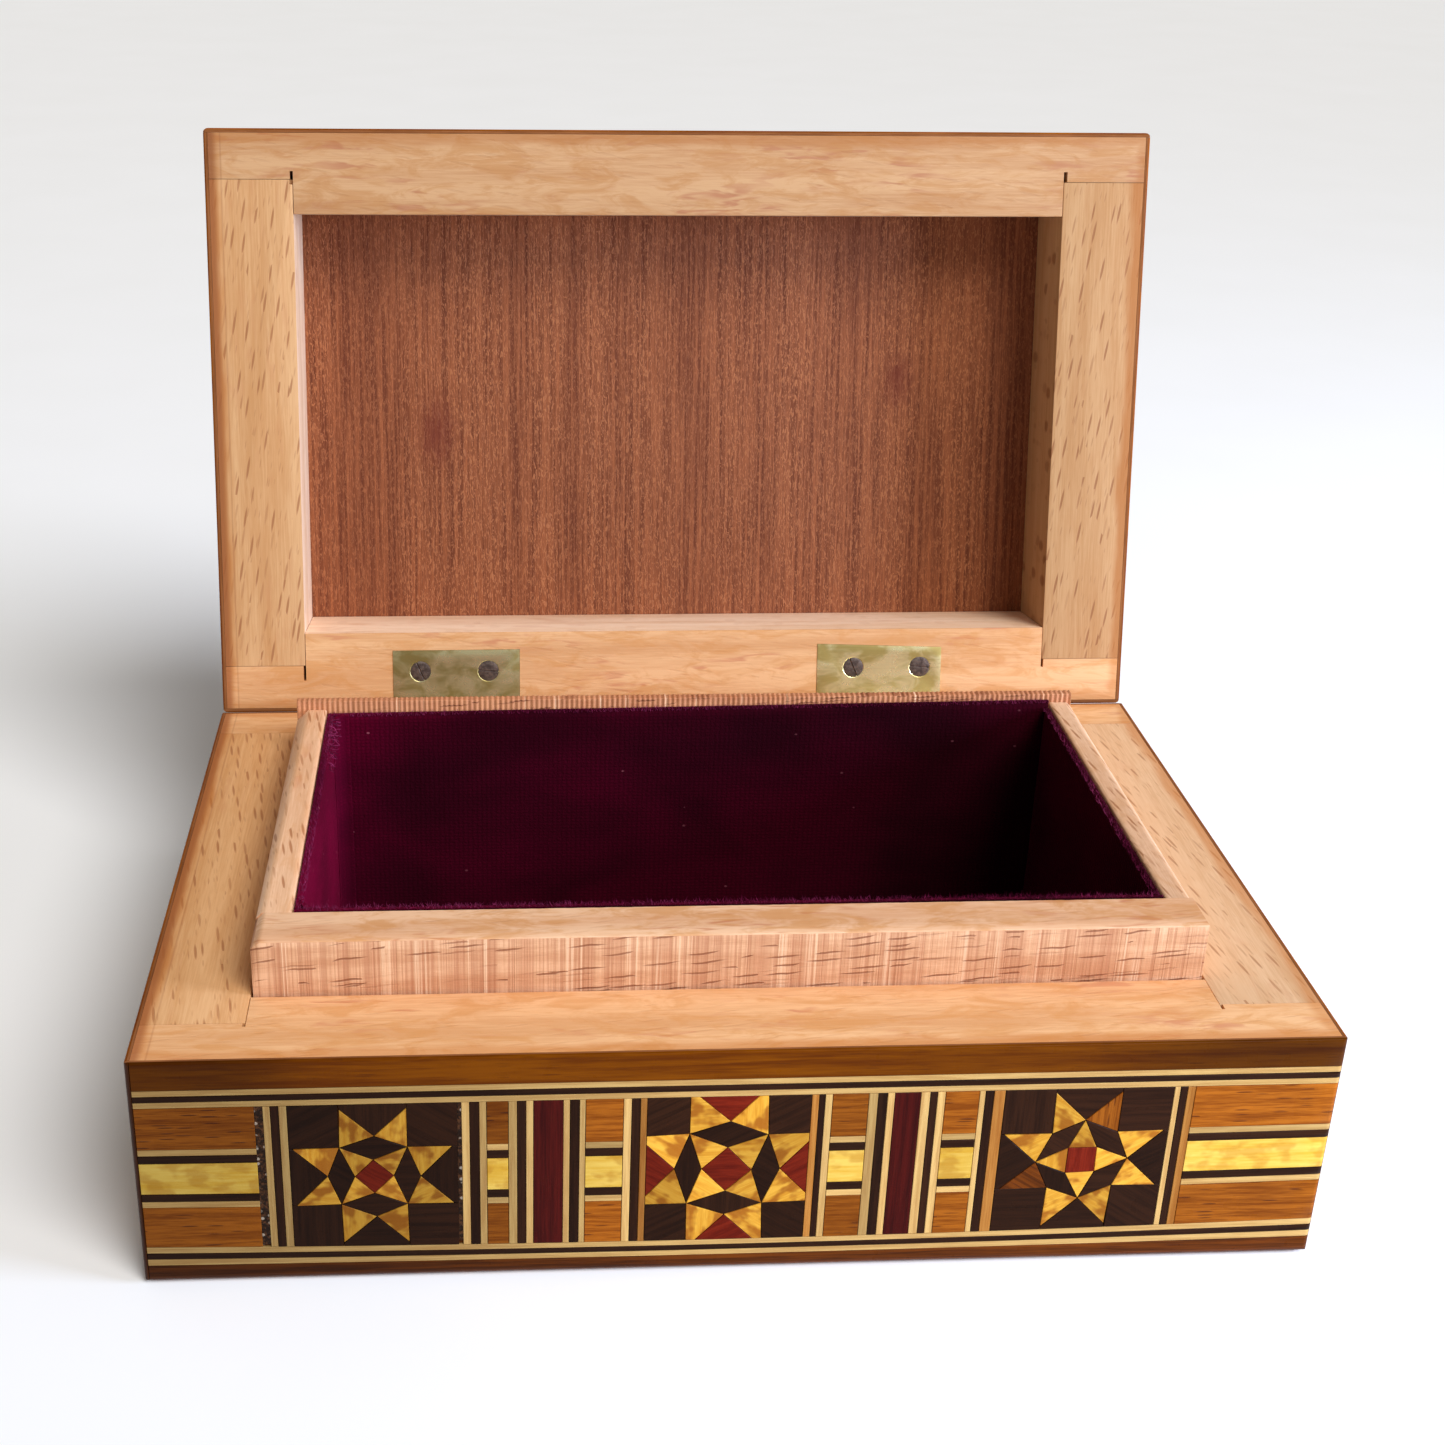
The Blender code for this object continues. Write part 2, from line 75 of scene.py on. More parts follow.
MM = 0.001
CLOSE = 1e-6  # metres; places nearer than this count as the same
SHARP = 0.6  # radians; edges that turn more than this stay sharp
RANDOM = random.Random(11)

# The hinge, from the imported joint
HINGE = frame["joints"][0]
AXIS = Vector(HINGE["pos_m"])
LID_TURN = Matrix.Rotation(-math.radians(HINGE["range_deg"][1]), 4, "X")
LID_OPEN = Matrix.Translation(AXIS) @ LID_TURN @ Matrix.Translation(-AXIS)
LID_SHUT = LID_OPEN.inverted()

# Camera, as turns about the box's own axes
CAMERA_PLACE = (-0.03611, -0.28683, 0.21217)
CAMERA_AZIMUTH = 3.38
CAMERA_ELEVATION = 23.30
CAMERA_ROLL = 0.90
CAMERA_LENS = 48.04
CAMERA_SHIFT = (0.0848, -0.0848)

# Light
ROOM_LIGHT = 0.27
ROOM_COLOUR = (1.0, 0.95, 0.90, 1.0)
KEY_LIGHT = 2.5
KEY_FROM = (0.50, -0.70, 0.96)
KEY_SOFTNESS = 32  # degrees that the light seems wide
SIDE_LIGHT = 3.8
SIDE_COLOUR = (0.85, 1.02, 1.40)
SIDE_PLACE = (0.60, -0.20, 0.20)
SIDE_SIZE = 0.20
FLOOR_SIZE = 3.0

# Joints and edges
CAD_GAP = 0.3 * MM  # what the CAD leaves between glued pieces
SEAM = 0.04 * MM  # what is left of it here
JOINT = 0.09 * MM  # open joints of the frames
TILE_SEAM = 0.09 * MM  # glue lines between tiles
EASED = 0.22 * MM  # rounding of a sanded edge
FOOT = 0.6 * MM  # rounding of the bottom board, inside the veneer's own

# Frames
NICKS = {  # the saw's cuts past the rabbets, in mm: width and length at the left and at the right end
    "base_front_wall": ((0.5, 0.8), (0.5, 1.2)),
    "base_back_wall": ((0.5, 0.8), (0.5, 0.8)),
    "lid_front_rail": ((0.6, 1.5), (0.7, 1.9)),
    "lid_back_rail": ((0.5, 3.0), (0.5, 1.6)),
}
WOOD_TONES = {  # how light each member's wood is
    "base_front_wall": 0.60,
    "base_back_wall": 0.50,
    "base_left_wall": 0.50,
    "base_right_wall": 0.50,
    "lid_front_rail": 0.20,
    "lid_back_rail": 0.52,
    "lid_left_stile": 0.34,
    "lid_right_stile": 0.22,
}
NOTCH = (0.6 * MM, 0.9 * MM)  # broken out of the corner of the lid's left stile

# Liner
SAWN_STEP = 0.35 * MM  # between the drawn sections of a sawn strip
FRONT_SLOPE = 1.2 * MM  # how far the front strip's top drops at its left end
RIB = 0.95 * MM  # length of a rib on the back strip

# Hinges
LEAF = 0.8 * MM
MIDDLE_KNUCKLE = 8.4 * MM
# What the lid leaf of each hinge lacks in width at its left and right end
LEAF_SLANT = {"left": (0.10 * MM, 0.0), "right": (-0.55 * MM, 0.30 * MM)}
ROUND = 40  # sides of a turned piece
SCREW_GAP = 0.02 * MM  # round a screw's head
SLOT = (0.28 * MM, 0.22 * MM)  # width and depth of a screw's slot

# Marquetry, in mm: widths of the strips and blocks of the front's field, from left to right
STRINGS = (("light", 1.2), ("black", 1.3), ("light", 1.1))
FRONT_FIELD = (
    ("layers", 18.2), ("glue", 1.2), ("light", 1.1), ("black", 1.2), ("light", 1.2),
    ("star", 24.8),
    ("glue", 0.6), ("light", 1.2), ("black", 1.4), ("light", 1.1), ("layers", 3.2), ("light", 1.3),
    ("black", 1.3), ("light", 1.1), ("maroon", 4.4), ("light", 1.0), ("black", 1.4), ("light", 0.9),
    ("layers", 5.6), ("light", 1.2), ("black", 1.3), ("tan", 1.0),
    ("red_star", 24.4),
    ("tan", 1.1), ("black", 0.9), ("light", 1.1), ("layers", 5.4), ("light", 1.4), ("black", 1.4),
    ("light", 1.1), ("maroon", 3.9), ("light", 1.4), ("black", 1.1), ("light", 1.2), ("layers", 5.1),
    ("light", 0.9), ("black", 1.3), ("tan", 1.7),
    ("eight_star", 25.6),
    ("light", 0.9), ("black", 1.1), ("tan", 1.2), ("layers", 22.1),
)
BAR = (("maroon", 4.2),)
SIDE_HALF = (("layers", 22.1), *STRINGS, ("layers", 5.3), *STRINGS, *BAR, *STRINGS)
LID_BAR = (*STRINGS, *BAR, *STRINGS)
LID_LONG_HALF = (("mahogany", 34.0), *STRINGS, ("lemon", 10.0), *LID_BAR, ("lemon", 10.0), *STRINGS)
LID_SHORT_HALF = (("mahogany", 20.0), *STRINGS, ("lemon", 8.0), *LID_BAR)
LAYERS = (("light", 1.1), ("black", 1.4), ("lemon", 5.6), ("black", 1.4), ("light", 1.1))
BASE_BANDS = (3.5, 3.5, 25.5, 3.1, 5.2)  # heights of border, strings, field, strings and border, upwards
LID_BANDS = (3.6, 3.0, 7.6, 3.0, 3.6)
BORDERS = ("border", "golden")  # the base's lower and upper border
FRONT_ENDS = (0.8, 0.3)  # dark edges of the side veneers, seen at the front's ends
BOW = 1.2  # the front's lower strings sag this far in the middle
TILE = 0.45 * MM  # how much of the veneer is tile, above its glue
TILE_EDGE = 0.05 * MM  # rounding of a tile's own edge
TILE_SUNK = 0.03 * MM  # how much lower than the others a tile may lie
GLUE_SUNK = 0.07 * MM  # how much lower the glue between blocks is
BASE_WEAR = {"low": 1.5, "high": 0.45}  # rounding of a side's outer edges, in mm
LID_WEAR = {"low": 0.3}
END_WEAR = {"left": 1.0, "right": 1.0}  # of front and back as well, where they meet the sides

# Velvet
FOLD = 2.6 * MM  # radius of its turn at the left corners
CLOTH = 0.7 * MM  # its thickness there
CLOTH_STEP = 0.9 * MM  # size of the drawn squares, and of a panel's rounded edge
FRONT_PILE = 0.45 * MM  # how far the front panel's pile stands above its card
PANEL_DROP = 0.45 * MM  # how far the panels reach down beside the floor's rounded edge
BACK_SLANT = (-0.8 * MM, 0.5 * MM)  # how far the back panel's top is out of level at its left and right end
THREE_WAYS = (0.0, 2.1, 4.2)  # angles of a thread's three sides
PILE_SPACING = 0.05 * MM  # between loose threads of pile at a panel's top edge
PILE_RADIUS = 0.04 * MM
FRAY = (14 * MM, 5 * MM)  # how far the frayed corner reaches along the panel and down
FRAY_THREADS = 150
FRAY_RADIUS = 0.05 * MM
FRAY_STEPS = 6  # bends of a pulled thread


# ---------------------------------------------------------------- places
def box_of(*nodes, shut=False):
    """The lowest and highest corners of CAD nodes together; with shut, as they are with the lid shut."""
    turn = LID_SHUT if shut else Matrix.Identity(4)
    points = [turn @ v.co for node in nodes for v in frame["nodes"][node].data.vertices]
    low = Vector([min(p[i] for p in points) for i in range(3)])
    high = Vector([max(p[i] for p in points) for i in range(3)])
    return low, high


SIDES = {  # along and up, seen from outside
    "front": ((1, 0, 0), (0, 0, 1)),
    "back": ((-1, 0, 0), (0, 0, 1)),
    "right": ((0, 1, 0), (0, 0, 1)),
    "left": ((0, -1, 0), (0, 0, 1)),
    "top": ((1, 0, 0), (0, 1, 0)),
}


def side_place(box, side):
    """A matrix from along, up and outward to the frame, its origin at the box's lower left inner corner."""
    along, up = (Vector(axis) for axis in SIDES[side])
    outward = along.cross(up)
    reach = along + up + outward
    low, high = box
    origin = [low[i] if reach[i] > 0 else high[i] for i in range(3)]
    place = Matrix((along, up, outward)).transposed().to_4x4()
    place.translation = origin
    size = high - low
    return place, [abs(size.dot(axis)) for axis in (along, up, outward)]


# ---------------------------------------------------------------- meshes
GRAIN = {
    "X": Matrix.Identity(3),
    "Y": Matrix(((0, 1, 0), (-1, 0, 0), (0, 0, 1))),
    "Z": Matrix(((0, 0, 1), (1, 0, 0), (0, 1, 0))),
}


def from_bmesh(bm):
    mesh = bpy.data.meshes.new("mesh")
    bm.to_mesh(mesh)
    bm.free()
    return mesh


def box_mesh(low, high):
    low = Vector(low)
    high = Vector(high)
    bm = bmesh.new()
    bmesh.ops.create_cube(bm, size=1, matrix=Matrix.LocRotScale((low + high) / 2, None, high - low))
    return from_bmesh(bm)


def rod_mesh(centre, axis, length, radius_1, radius_2=None):
    turn = Vector((0, 0, 1)).rotation_difference(Vector(axis))
    bm = bmesh.new()
    bmesh.ops.create_cone(
        bm,
        cap_ends=True,
        segments=ROUND,
        radius1=radius_1,
        radius2=radius_1 if radius_2 is None else radius_2,
        depth=length,
        matrix=Matrix.LocRotScale(Vector(centre), turn, None),
    )
    return from_bmesh(bm)


def prism_mesh(outline, low, high):
    """An anticlockwise outline in the XY plane, drawn up from low to high."""
    bm = bmesh.new()
    bottom = [bm.verts.new((x, y, low)) for x, y in outline]
    top = [bm.verts.new((x, y, high)) for x, y in outline]
    bm.faces.new(reversed(bottom))
    bm.faces.new(top)
    for i in range(len(outline)):
        j = (i + 1) % len(outline)
        bm.faces.new((bottom[i], bottom[j], top[j], top[i]))
    return from_bmesh(bm)


def carved(mesh, tools, operation="DIFFERENCE"):
    """The mesh with the tool meshes taken out of it or, with UNION, added."""
    body = bpy.data.objects.new("body", mesh)
    bpy.context.scene.collection.objects.link(body)
    helpers = [body]
    for tool in tools:
        helper = bpy.data.objects.new("tool", tool)
        bpy.context.scene.collection.objects.link(helper)
        helpers.append(helper)
        cut = body.modifiers.new("cut", "BOOLEAN")
        cut.operation = operation
        cut.solver = "EXACT"
        cut.object = helper
    result = bpy.data.meshes.new_from_object(body.evaluated_get(bpy.context.evaluated_depsgraph_get()))
    for helper in helpers:
        bpy.data.objects.remove(helper, do_unlink=True)
    return result


def eased(mesh, width, chosen=None, segments=2):
    """The mesh with its sharp edges rounded, or those whose middle is chosen."""
    bm = bmesh.new()
    bm.from_mesh(mesh)
    bmesh.ops.remove_doubles(bm, verts=bm.verts, dist=1e-7)
    edges = [e for e in bm.edges if len(e.link_faces) == 2 and e.calc_face_angle(0) > SHARP]
    if chosen:
        edges = [e for e in edges if chosen((e.verts[0].co + e.verts[1].co) / 2)]
    bmesh.ops.bevel(
        bm, geom=edges, offset=width, segments=segments, profile=0.6, affect="EDGES", clamp_overlap=True
    )
    bm.to_mesh(mesh)
    bm.free()
    return mesh


def offset_outline(outline, distance):
    """Each corner moved inwards by the distance from both its edges."""
    moved = []
    for before, here, after in zip(outline[-1:] + outline[:-1], outline, outline[1:] + outline[:1]):
        first = (Vector(here) - Vector(before)).normalized()
        second = (Vector(after) - Vector(here)).normalized()
        in_1 = Vector((-first.y, first.x))
        in_2 = Vector((-second.y, second.x))
        moved.append(tuple(Vector(here) + (in_1 + in_2) * distance / (1 + in_1.dot(in_2))))
    return moved


class Woodwork:
    """Gathers solids into one mesh. Each has a material, its own stretch of grain and a tone from 0 to 1."""

    def __init__(self):
        self.points, self.faces, self.woods = [], [], []
        self.grain, self.tones, self.names = [], [], []

    def add(self, points, faces, wood, turn=GRAIN["X"], tone=0.5, shift=None):
        if shift is None:
            shift = Vector([RANDOM.uniform(-0.3, 0.3) for _ in range(3)])
        if wood not in self.names:
            self.names.append(wood)
        first = len(self.points)
        self.points += [tuple(p) for p in points]
        self.grain += [tuple(turn @ Vector(p) + shift) for p in points]
        self.tones += tone if isinstance(tone, list) else [tone] * len(points)
        self.faces += [[first + i for i in face] for face in faces]
        self.woods += [self.names.index(wood)] * len(faces)

    def swap(self, wood, chosen):
        """Another wood for the faces whose corners are all chosen."""
        self.names.append(wood)
        for number, face in enumerate(self.faces):
            if all(chosen(self.points[i]) for i in face):
                self.woods[number] = len(self.names) - 1

    def add_mesh(self, mesh, wood, along="X", tone=0.5, shift=None):
        points = [v.co for v in mesh.vertices]
        self.add(points, [p.vertices for p in mesh.polygons], wood, GRAIN[along], tone, shift)
        bpy.data.meshes.remove(mesh)

    def piece(self, name, nodes, slot, place=None, smooth=SHARP):
        """The object, riding on the body of the nodes that it stands for."""
        place = place or Matrix.Identity(4)
        drawn = [place @ Vector(p) for p in self.points]
        body = frame["nodes"][nodes[0]]["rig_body"]
        turn = LID_OPEN if body == "lid" else Matrix.Identity(4)
        mesh = bpy.data.meshes.new(name)
        mesh.from_pydata([turn @ p for p in drawn], [], self.faces)
        for wood in self.names:
            mesh.materials.append(MATERIALS[wood])
        mesh.polygons.foreach_set("material_index", self.woods)
        mesh.attributes.new("grain", "FLOAT_VECTOR", "POINT").data.foreach_set("vector", flat(self.grain))
        mesh.attributes.new("place", "FLOAT_VECTOR", "POINT").data.foreach_set("vector", flat(drawn))
        mesh.attributes.new("tone", "FLOAT", "POINT").data.foreach_set("value", self.tones)
        mesh.shade_smooth()
        mesh.set_sharp_from_angle(angle=smooth)
        obj = bpy.data.objects.new(name, mesh)
        bpy.context.scene.collection.objects.link(obj)
        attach(obj, body)
        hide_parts(*nodes)
        return obj


def single(name, node, mesh, wood, slot, along="X", tone=0.5, shift=None):
    """A piece that is one solid of one material."""
    work = Woodwork()
    work.add_mesh(mesh, wood, along, tone, shift)
    return work.piece(name, [node], slot)


def flat(vectors):
    return [value for vector in vectors for value in vector]


# ---------------------------------------------------------------- materials
def srgb(red, green, blue):
    """A colour as seen on screen, as the linear colour that a shader takes."""
    parts = [c / 255 for c in (red, green, blue)]
    return tuple(c / 12.92 if c < 0.04045 else ((c + 0.055) / 1.055) ** 2.4 for c in parts) + (1.0,)


class Nodes:
    """A material's node tree as calls that each return a socket."""

    def __init__(self, name):
        self.material = bpy.data.materials.new(name)
        self.material.use_nodes = True
        self.tree = self.material.node_tree
        self.shader = self.tree.nodes["Principled BSDF"]

    def put(self, socket, value):
        if isinstance(value, bpy.types.NodeSocket):
            self.tree.links.new(value, socket)
        else:
            socket.default_value = value

    def node(self, kind, inputs, output=0, **settings):
        node = self.tree.nodes.new("ShaderNode" + kind)
        for key, value in settings.items():
            setattr(node, key, value)
        for key, value in inputs.items():
            self.put(node.inputs[key], value)
        return node.outputs[output]

    def attribute(self, name, output="Vector"):
        return self.node("Attribute", {}, output, attribute_name=name)

    def math(self, operation, a, b=0.0):
        return self.node("Math", {0: a, 1: b}, operation=operation)

    def plus(self, a, b):
        return self.math("ADD", a, b)

    def minus(self, a, b):
        return self.math("SUBTRACT", a, b)

    def times(self, a, b):
        return self.math("MULTIPLY", a, b)

    def scaled(self, vector, lengths):
        """The vector measured in the given lengths, in mm."""
        factors = tuple(1000 / length for length in lengths)
        return self.node("VectorMath", {0: vector, 1: factors}, operation="MULTIPLY")

    def noise(self, vector, lengths, detail=2.0, rough=0.5, distortion=0.0):
        """Cloudy noise from 0 to 1. Its clouds have the given lengths, in mm."""
        inputs = {"Vector": self.scaled(vector, lengths), "Scale": 1.0, "Detail": detail, "Roughness": rough}
        return self.node("TexNoise", {**inputs, "Distortion": distortion}, "Fac")

    def spots(self, vector, cell, spot, randomness=1.0):
        """Scattered oval spots: 1 at the middle of each, 0 outside it. Cell and spot are sizes in mm."""
        scaled = self.scaled(vector, cell)
        inputs = {"Vector": scaled, "Scale": 1.0, "Randomness": randomness}
        node = self.node("TexVoronoi", inputs, "Distance").node
        away = self.node("VectorMath", {0: scaled, 1: node.outputs["Position"]}, operation="SUBTRACT")
        stretch = tuple(c / s * 2 for c, s in zip(cell, spot))
        inside = self.node("VectorMath", {0: away, 1: stretch}, operation="MULTIPLY")
        far = self.node("VectorMath", {0: inside}, "Value", operation="LENGTH")
        chance = self.parts(node.outputs["Color"])[0]
        return self.minus(1.0, far), chance

    def span(self, value, low, high, to_low=0.0, to_high=1.0):
        """The value moved from one range to another and held inside it, smoothly."""
        inputs = {0: value, 1: low, 2: high, 3: to_low, 4: to_high}
        return self.node("MapRange", inputs, interpolation_type="SMOOTHSTEP")

    def mix(self, factor, a, b):
        return self.node("Mix", {0: factor, 6: a, 7: b}, 2, data_type="RGBA")

    def value(self, colour, value):
        return self.node("HueSaturation", {"Color": colour, "Value": value})

    def parts(self, vector):
        return self.node("SeparateXYZ", {0: vector}).node.outputs

    def bump(self, height, distance, strength=1.0):
        self.put(
            self.shader.inputs["Normal"],
            self.node("Bump", {"Height": height, "Distance": distance, "Strength": strength}),
        )

    def finish(self, colour, roughness, **constants):
        self.put(self.shader.inputs["Base Color"], colour)
        self.put(self.shader.inputs["Roughness"], roughness)
        for name, value in constants.items():
            self.shader.inputs[name.replace("_", " ").title().replace("Ior", "IOR")].default_value = value
        return self.material


def toned(n, colour, swing=0.5):
    """The colour made darker or lighter by its piece's tone."""
    return n.value(colour, n.span(n.attribute("tone", "Fac"), 0, 1, 1 - swing, 1 + swing))


def outer_edge(n):
    """Distance in metres from the box's upright outer faces, which rim and lid share."""
    x, y, _ = n.parts(n.attribute("place"))
    half = CAD_BOX[1][0], abs(CAD_BOX[0][1])
    far_x = n.minus(half[0], n.math("ABSOLUTE", x))
    far_y = n.minus(half[1], n.math("ABSOLUTE", y))
    return n.math("MINIMUM", far_x, far_y)


def beech(name, light, dark, flecks, smudges, stained=0.0):
    """Beech: soft growth bands, dark ray flecks along the grain, pinkish smudges and, on a frame, the stain
    at its outer edges."""
    n = Nodes(name)
    grain = n.attribute("grain")
    band = n.noise(grain, (90, 6, 6), 3, 0.55, 0.3)
    fibre = n.noise(grain, (7, 0.3, 0.3), 3, 0.6)
    shade = n.plus(n.times(band, 0.65), n.times(fibre, 0.35))
    colour = n.mix(n.span(shade, 0.36, 0.62), dark, light)
    flame = n.noise(grain, (9, 1.6, 3), 2, 0.55, 0.6)
    where = n.noise(grain, (24, 9, 9), 1)
    smudge = n.times(n.span(flame, 0.54, 0.68, 0, smudges), n.span(where, 0.42, 0.62))
    colour = n.mix(smudge, colour, srgb(196, 126, 88))
    mottle = n.noise(grain, (11, 3.6, 3.6), 4, 0.68, 0.9)
    colour = n.mix(n.span(mottle, 0.45, 0.64, 0, smudges * 0.75), colour, srgb(204, 140, 78))
    slanted = n.node("Mapping", {"Vector": grain, "Rotation": (0, 0, -0.17)})
    inside, chance = n.spots(slanted, (5.2, 2.0, 2.6), (5.6, 0.60, 4.5))
    long_fleck = n.times(n.span(inside, 0.0, 0.5), n.span(chance, 0.30, 0.75))
    inside, chance = n.spots(slanted, (3.1, 1.3, 2.0), (2.6, 0.36, 3.0))
    short_fleck = n.times(n.span(inside, 0.0, 0.6, 0.0, 0.45), n.span(chance, 0.45, 0.8))
    fleck = n.math("MAXIMUM", long_fleck, short_fleck)
    colour = n.mix(n.times(fleck, flecks), colour, srgb(160, 98, 56))
    if stained:
        edge = outer_edge(n)
        drift = n.times(n.noise(grain, (16, 6, 6), 3), 0.0036)
        stain = n.span(n.minus(drift, edge), -0.0016, 0.0002, 0.0, stained)
        colour = n.mix(stain, colour, srgb(190, 114, 46))
        x = n.parts(n.attribute("place"))[0]
        from_left = n.minus(x, CAD_BOX[0][0])
        from_line = n.math("ABSOLUTE", n.minus(from_left, 0.0031))
        band = n.span(from_left, 0.0013, 0.0027, 0.72, 0.0)
        band = n.plus(band, n.span(from_line, 0.0, 0.00025, 0.30, 0.0))
        colour = n.mix(band, colour, srgb(150, 84, 44))
    colour = toned(n, colour, 0.35)
    n.bump(n.minus(n.times(fibre, 0.6), fleck), 0.00003, 0.7)
    return n.finish(colour, n.span(shade, 0.3, 0.7, 0.62, 0.48), specular_ior_level=0.3)


def sawn_beech(name, light, dark):
    """A liner strip as it came off the saw: close marks across the grain, some of them in light pairs, darker
    stretches between, and dark wavy flecks."""
    n = Nodes(name)
    grain = n.attribute("grain")
    band = n.noise(grain, (40, 3, 3), 3, 0.6, 0.4)
    fibre = n.noise(grain, (2, 0.22, 0.22), 3, 0.65)
    shade = n.plus(n.times(band, 0.75), n.times(fibre, 0.25))
    colour = n.mix(n.span(shade, 0.36, 0.62), dark, light)
    column = n.noise(grain, (3.2, 60, 60), 2, 0.6)
    colour = n.mix(n.span(column, 0.40, 0.60, 0.50, 0.0), colour, srgb(190, 128, 92))
    lines = n.noise(grain, (0.34, 30, 30), 1, 0.5)
    groove = n.span(lines, 0.38, 0.52, 0.42, 0.0)
    colour = n.mix(groove, colour, srgb(176, 114, 80))
    strong = n.noise(grain, (2.6, 60, 60), 1, 0.5)
    mark = n.times(n.span(lines, 0.54, 0.64), n.span(strong, 0.54, 0.64))
    colour = n.mix(n.times(mark, 0.6), colour, srgb(246, 206, 168))
    sway = n.noise(grain, (3.4, 9, 9), 1)
    wavy = n.node("VectorMath", {0: (0.0, 0.0, 0.0007), 1: sway}, operation="MULTIPLY")
    slanted = n.node("Mapping", {"Vector": grain, "Rotation": (0, 0.09, 0)})
    slanted = n.node("VectorMath", {0: slanted, 1: wavy}, operation="ADD")
    inside, chance = n.spots(slanted, (6.0, 60, 1.25), (7.4, 900, 0.44), 1.0)
    fleck = n.times(n.span(inside, 0.0, 0.6), n.span(chance, 0.42, 0.80))
    colour = n.mix(n.times(fleck, 0.8), colour, srgb(140, 82, 54))
    colour = toned(n, colour, 0.35)
    height = n.minus(n.plus(lines, n.times(fibre, 0.5)), fleck)
    n.bump(height, 0.00010, 0.8)
    return n.finish(colour, 0.7, specular_ior_level=0.25)


def sapele(name, light, dark):
    """Bare sapele: ribbons of interlocked grain, some curly with short pale flecks, and two dark blotches."""
    n = Nodes(name)
    grain = n.attribute("grain")
    ribbon = n.noise(grain, (260, 11, 30), 2, 0.5, 0.2)
    streak = n.noise(grain, (34, 0.55, 4), 3, 0.65)
    fibre = n.noise(grain, (3.2, 0.16, 1), 3, 0.7)
    shade = n.plus(n.times(ribbon, 0.2), n.times(streak, 0.8))
    colour = n.mix(n.span(shade, 0.34, 0.66), dark, light)
    curl = n.noise(grain, (1.25, 0.36, 1), 2, 0.6, 1.2)
    speck = n.times(n.span(curl, 0.50, 0.62), n.span(ribbon, 0.38, 0.60, 0.38, 0.75))
    colour = n.mix(speck, colour, srgb(178, 111, 70))
    colour = n.mix(n.span(fibre, 0.52, 0.70, 0.0, 0.5), colour, srgb(84, 38, 24))
    for across, along, size in ((-0.0477, 0.0025, 0.0036), (0.0461, -0.0075, 0.0030)):
        away = n.node("VectorMath", {0: n.attribute("place"), 1: (across, along, 0.0)}, operation="SUBTRACT")
        squeezed = n.node("VectorMath", {0: away, 1: (1.15, 0.62, 0.0)}, operation="MULTIPLY")
        far = n.node("VectorMath", {0: squeezed}, "Value", operation="LENGTH")
        rough = n.times(n.noise(grain, (4, 2, 2), 3), 0.004)
        blotch = n.span(n.plus(far, rough), size * 0.5, size * 2.4, 0.7, 0.0)
        colour = n.mix(blotch, colour, srgb(100, 34, 18))
    colour = toned(n, colour, 0.3)
    n.bump(n.minus(speck, n.times(fibre, 1.4)), 0.00006, 0.8)
    return n.finish(colour, n.span(shade, 0.3, 0.7, 0.68, 0.56), specular_ior_level=0.25)


def lacquered(name, light, dark, streak=(30, 0.9), pores=0.0, cloud=0.0, cloud_colour=None, swing=0.45):
    """A marquetry wood: streaks and pores along its grain, under lacquer that has sunk a little."""
    n = Nodes(name)
    grain = n.attribute("grain")
    broad = n.noise(grain, (streak[0], streak[1], streak[1]), 4, 0.6, 0.3)
    fibre = n.noise(grain, (streak[0] / 5, streak[1] / 5, streak[1] / 5), 2, 0.6)
    shade = n.plus(n.times(broad, 0.65), n.times(fibre, 0.35))
    colour = n.mix(n.span(shade, 0.36, 0.64), dark, light)
    inside, chance = n.spots(grain, (3.4, 0.55, 0.55), (3.4, 0.30, 0.30))
    pore = n.times(n.span(inside, 0.0, 0.5), n.span(chance, 0.45, 0.8))
    if pores:
        colour = n.mix(n.times(pore, pores), colour, srgb(70, 28, 12))
    if cloud:
        puff = n.noise(grain, (3.6, 2.4, 2.4), 2, 0.5)
        colour = n.mix(n.span(puff, 0.44, 0.62, 0.0, cloud), colour, cloud_colour)
    colour = toned(n, colour, swing)
    sunk = n.noise(n.attribute("place"), (2.6, 2.6, 2.6), 3, 0.55)
    n.bump(n.minus(n.plus(sunk, n.times(fibre, 0.25)), n.times(pore, pores)), 0.00005, 0.7)
    return n.finish(colour, n.span(sunk, 0.3, 0.7, 0.26, 0.40), specular_ior_level=0.05)


def glue_material():
    """Dark glue and lacquer in the gaps, lumpy enough to glint, with pale specks painted on as glints."""
    n = Nodes("glue")
    place = n.attribute("place")
    lump = n.noise(place, (0.6, 0.6, 0.6), 3, 0.6)
    colour = n.mix(n.span(lump, 0.42, 0.66), srgb(32, 18, 10), srgb(78, 48, 28))
    # painted highlight: pale specks stand for glints off the lumpy glue
    inside, chance = n.spots(place, (1.3, 1.3, 1.1), (0.8, 1.6, 0.7))
    speck = n.times(n.span(inside, 0.0, 0.4), n.span(chance, 0.66, 0.80, 0.0, 0.45))
    colour = n.mix(speck, colour, srgb(206, 190, 170))
    n.bump(lump, 0.0003, 1.0)
    return n.finish(colour, n.span(lump, 0.3, 0.7, 0.30, 0.50), specular_ior_level=0.06)


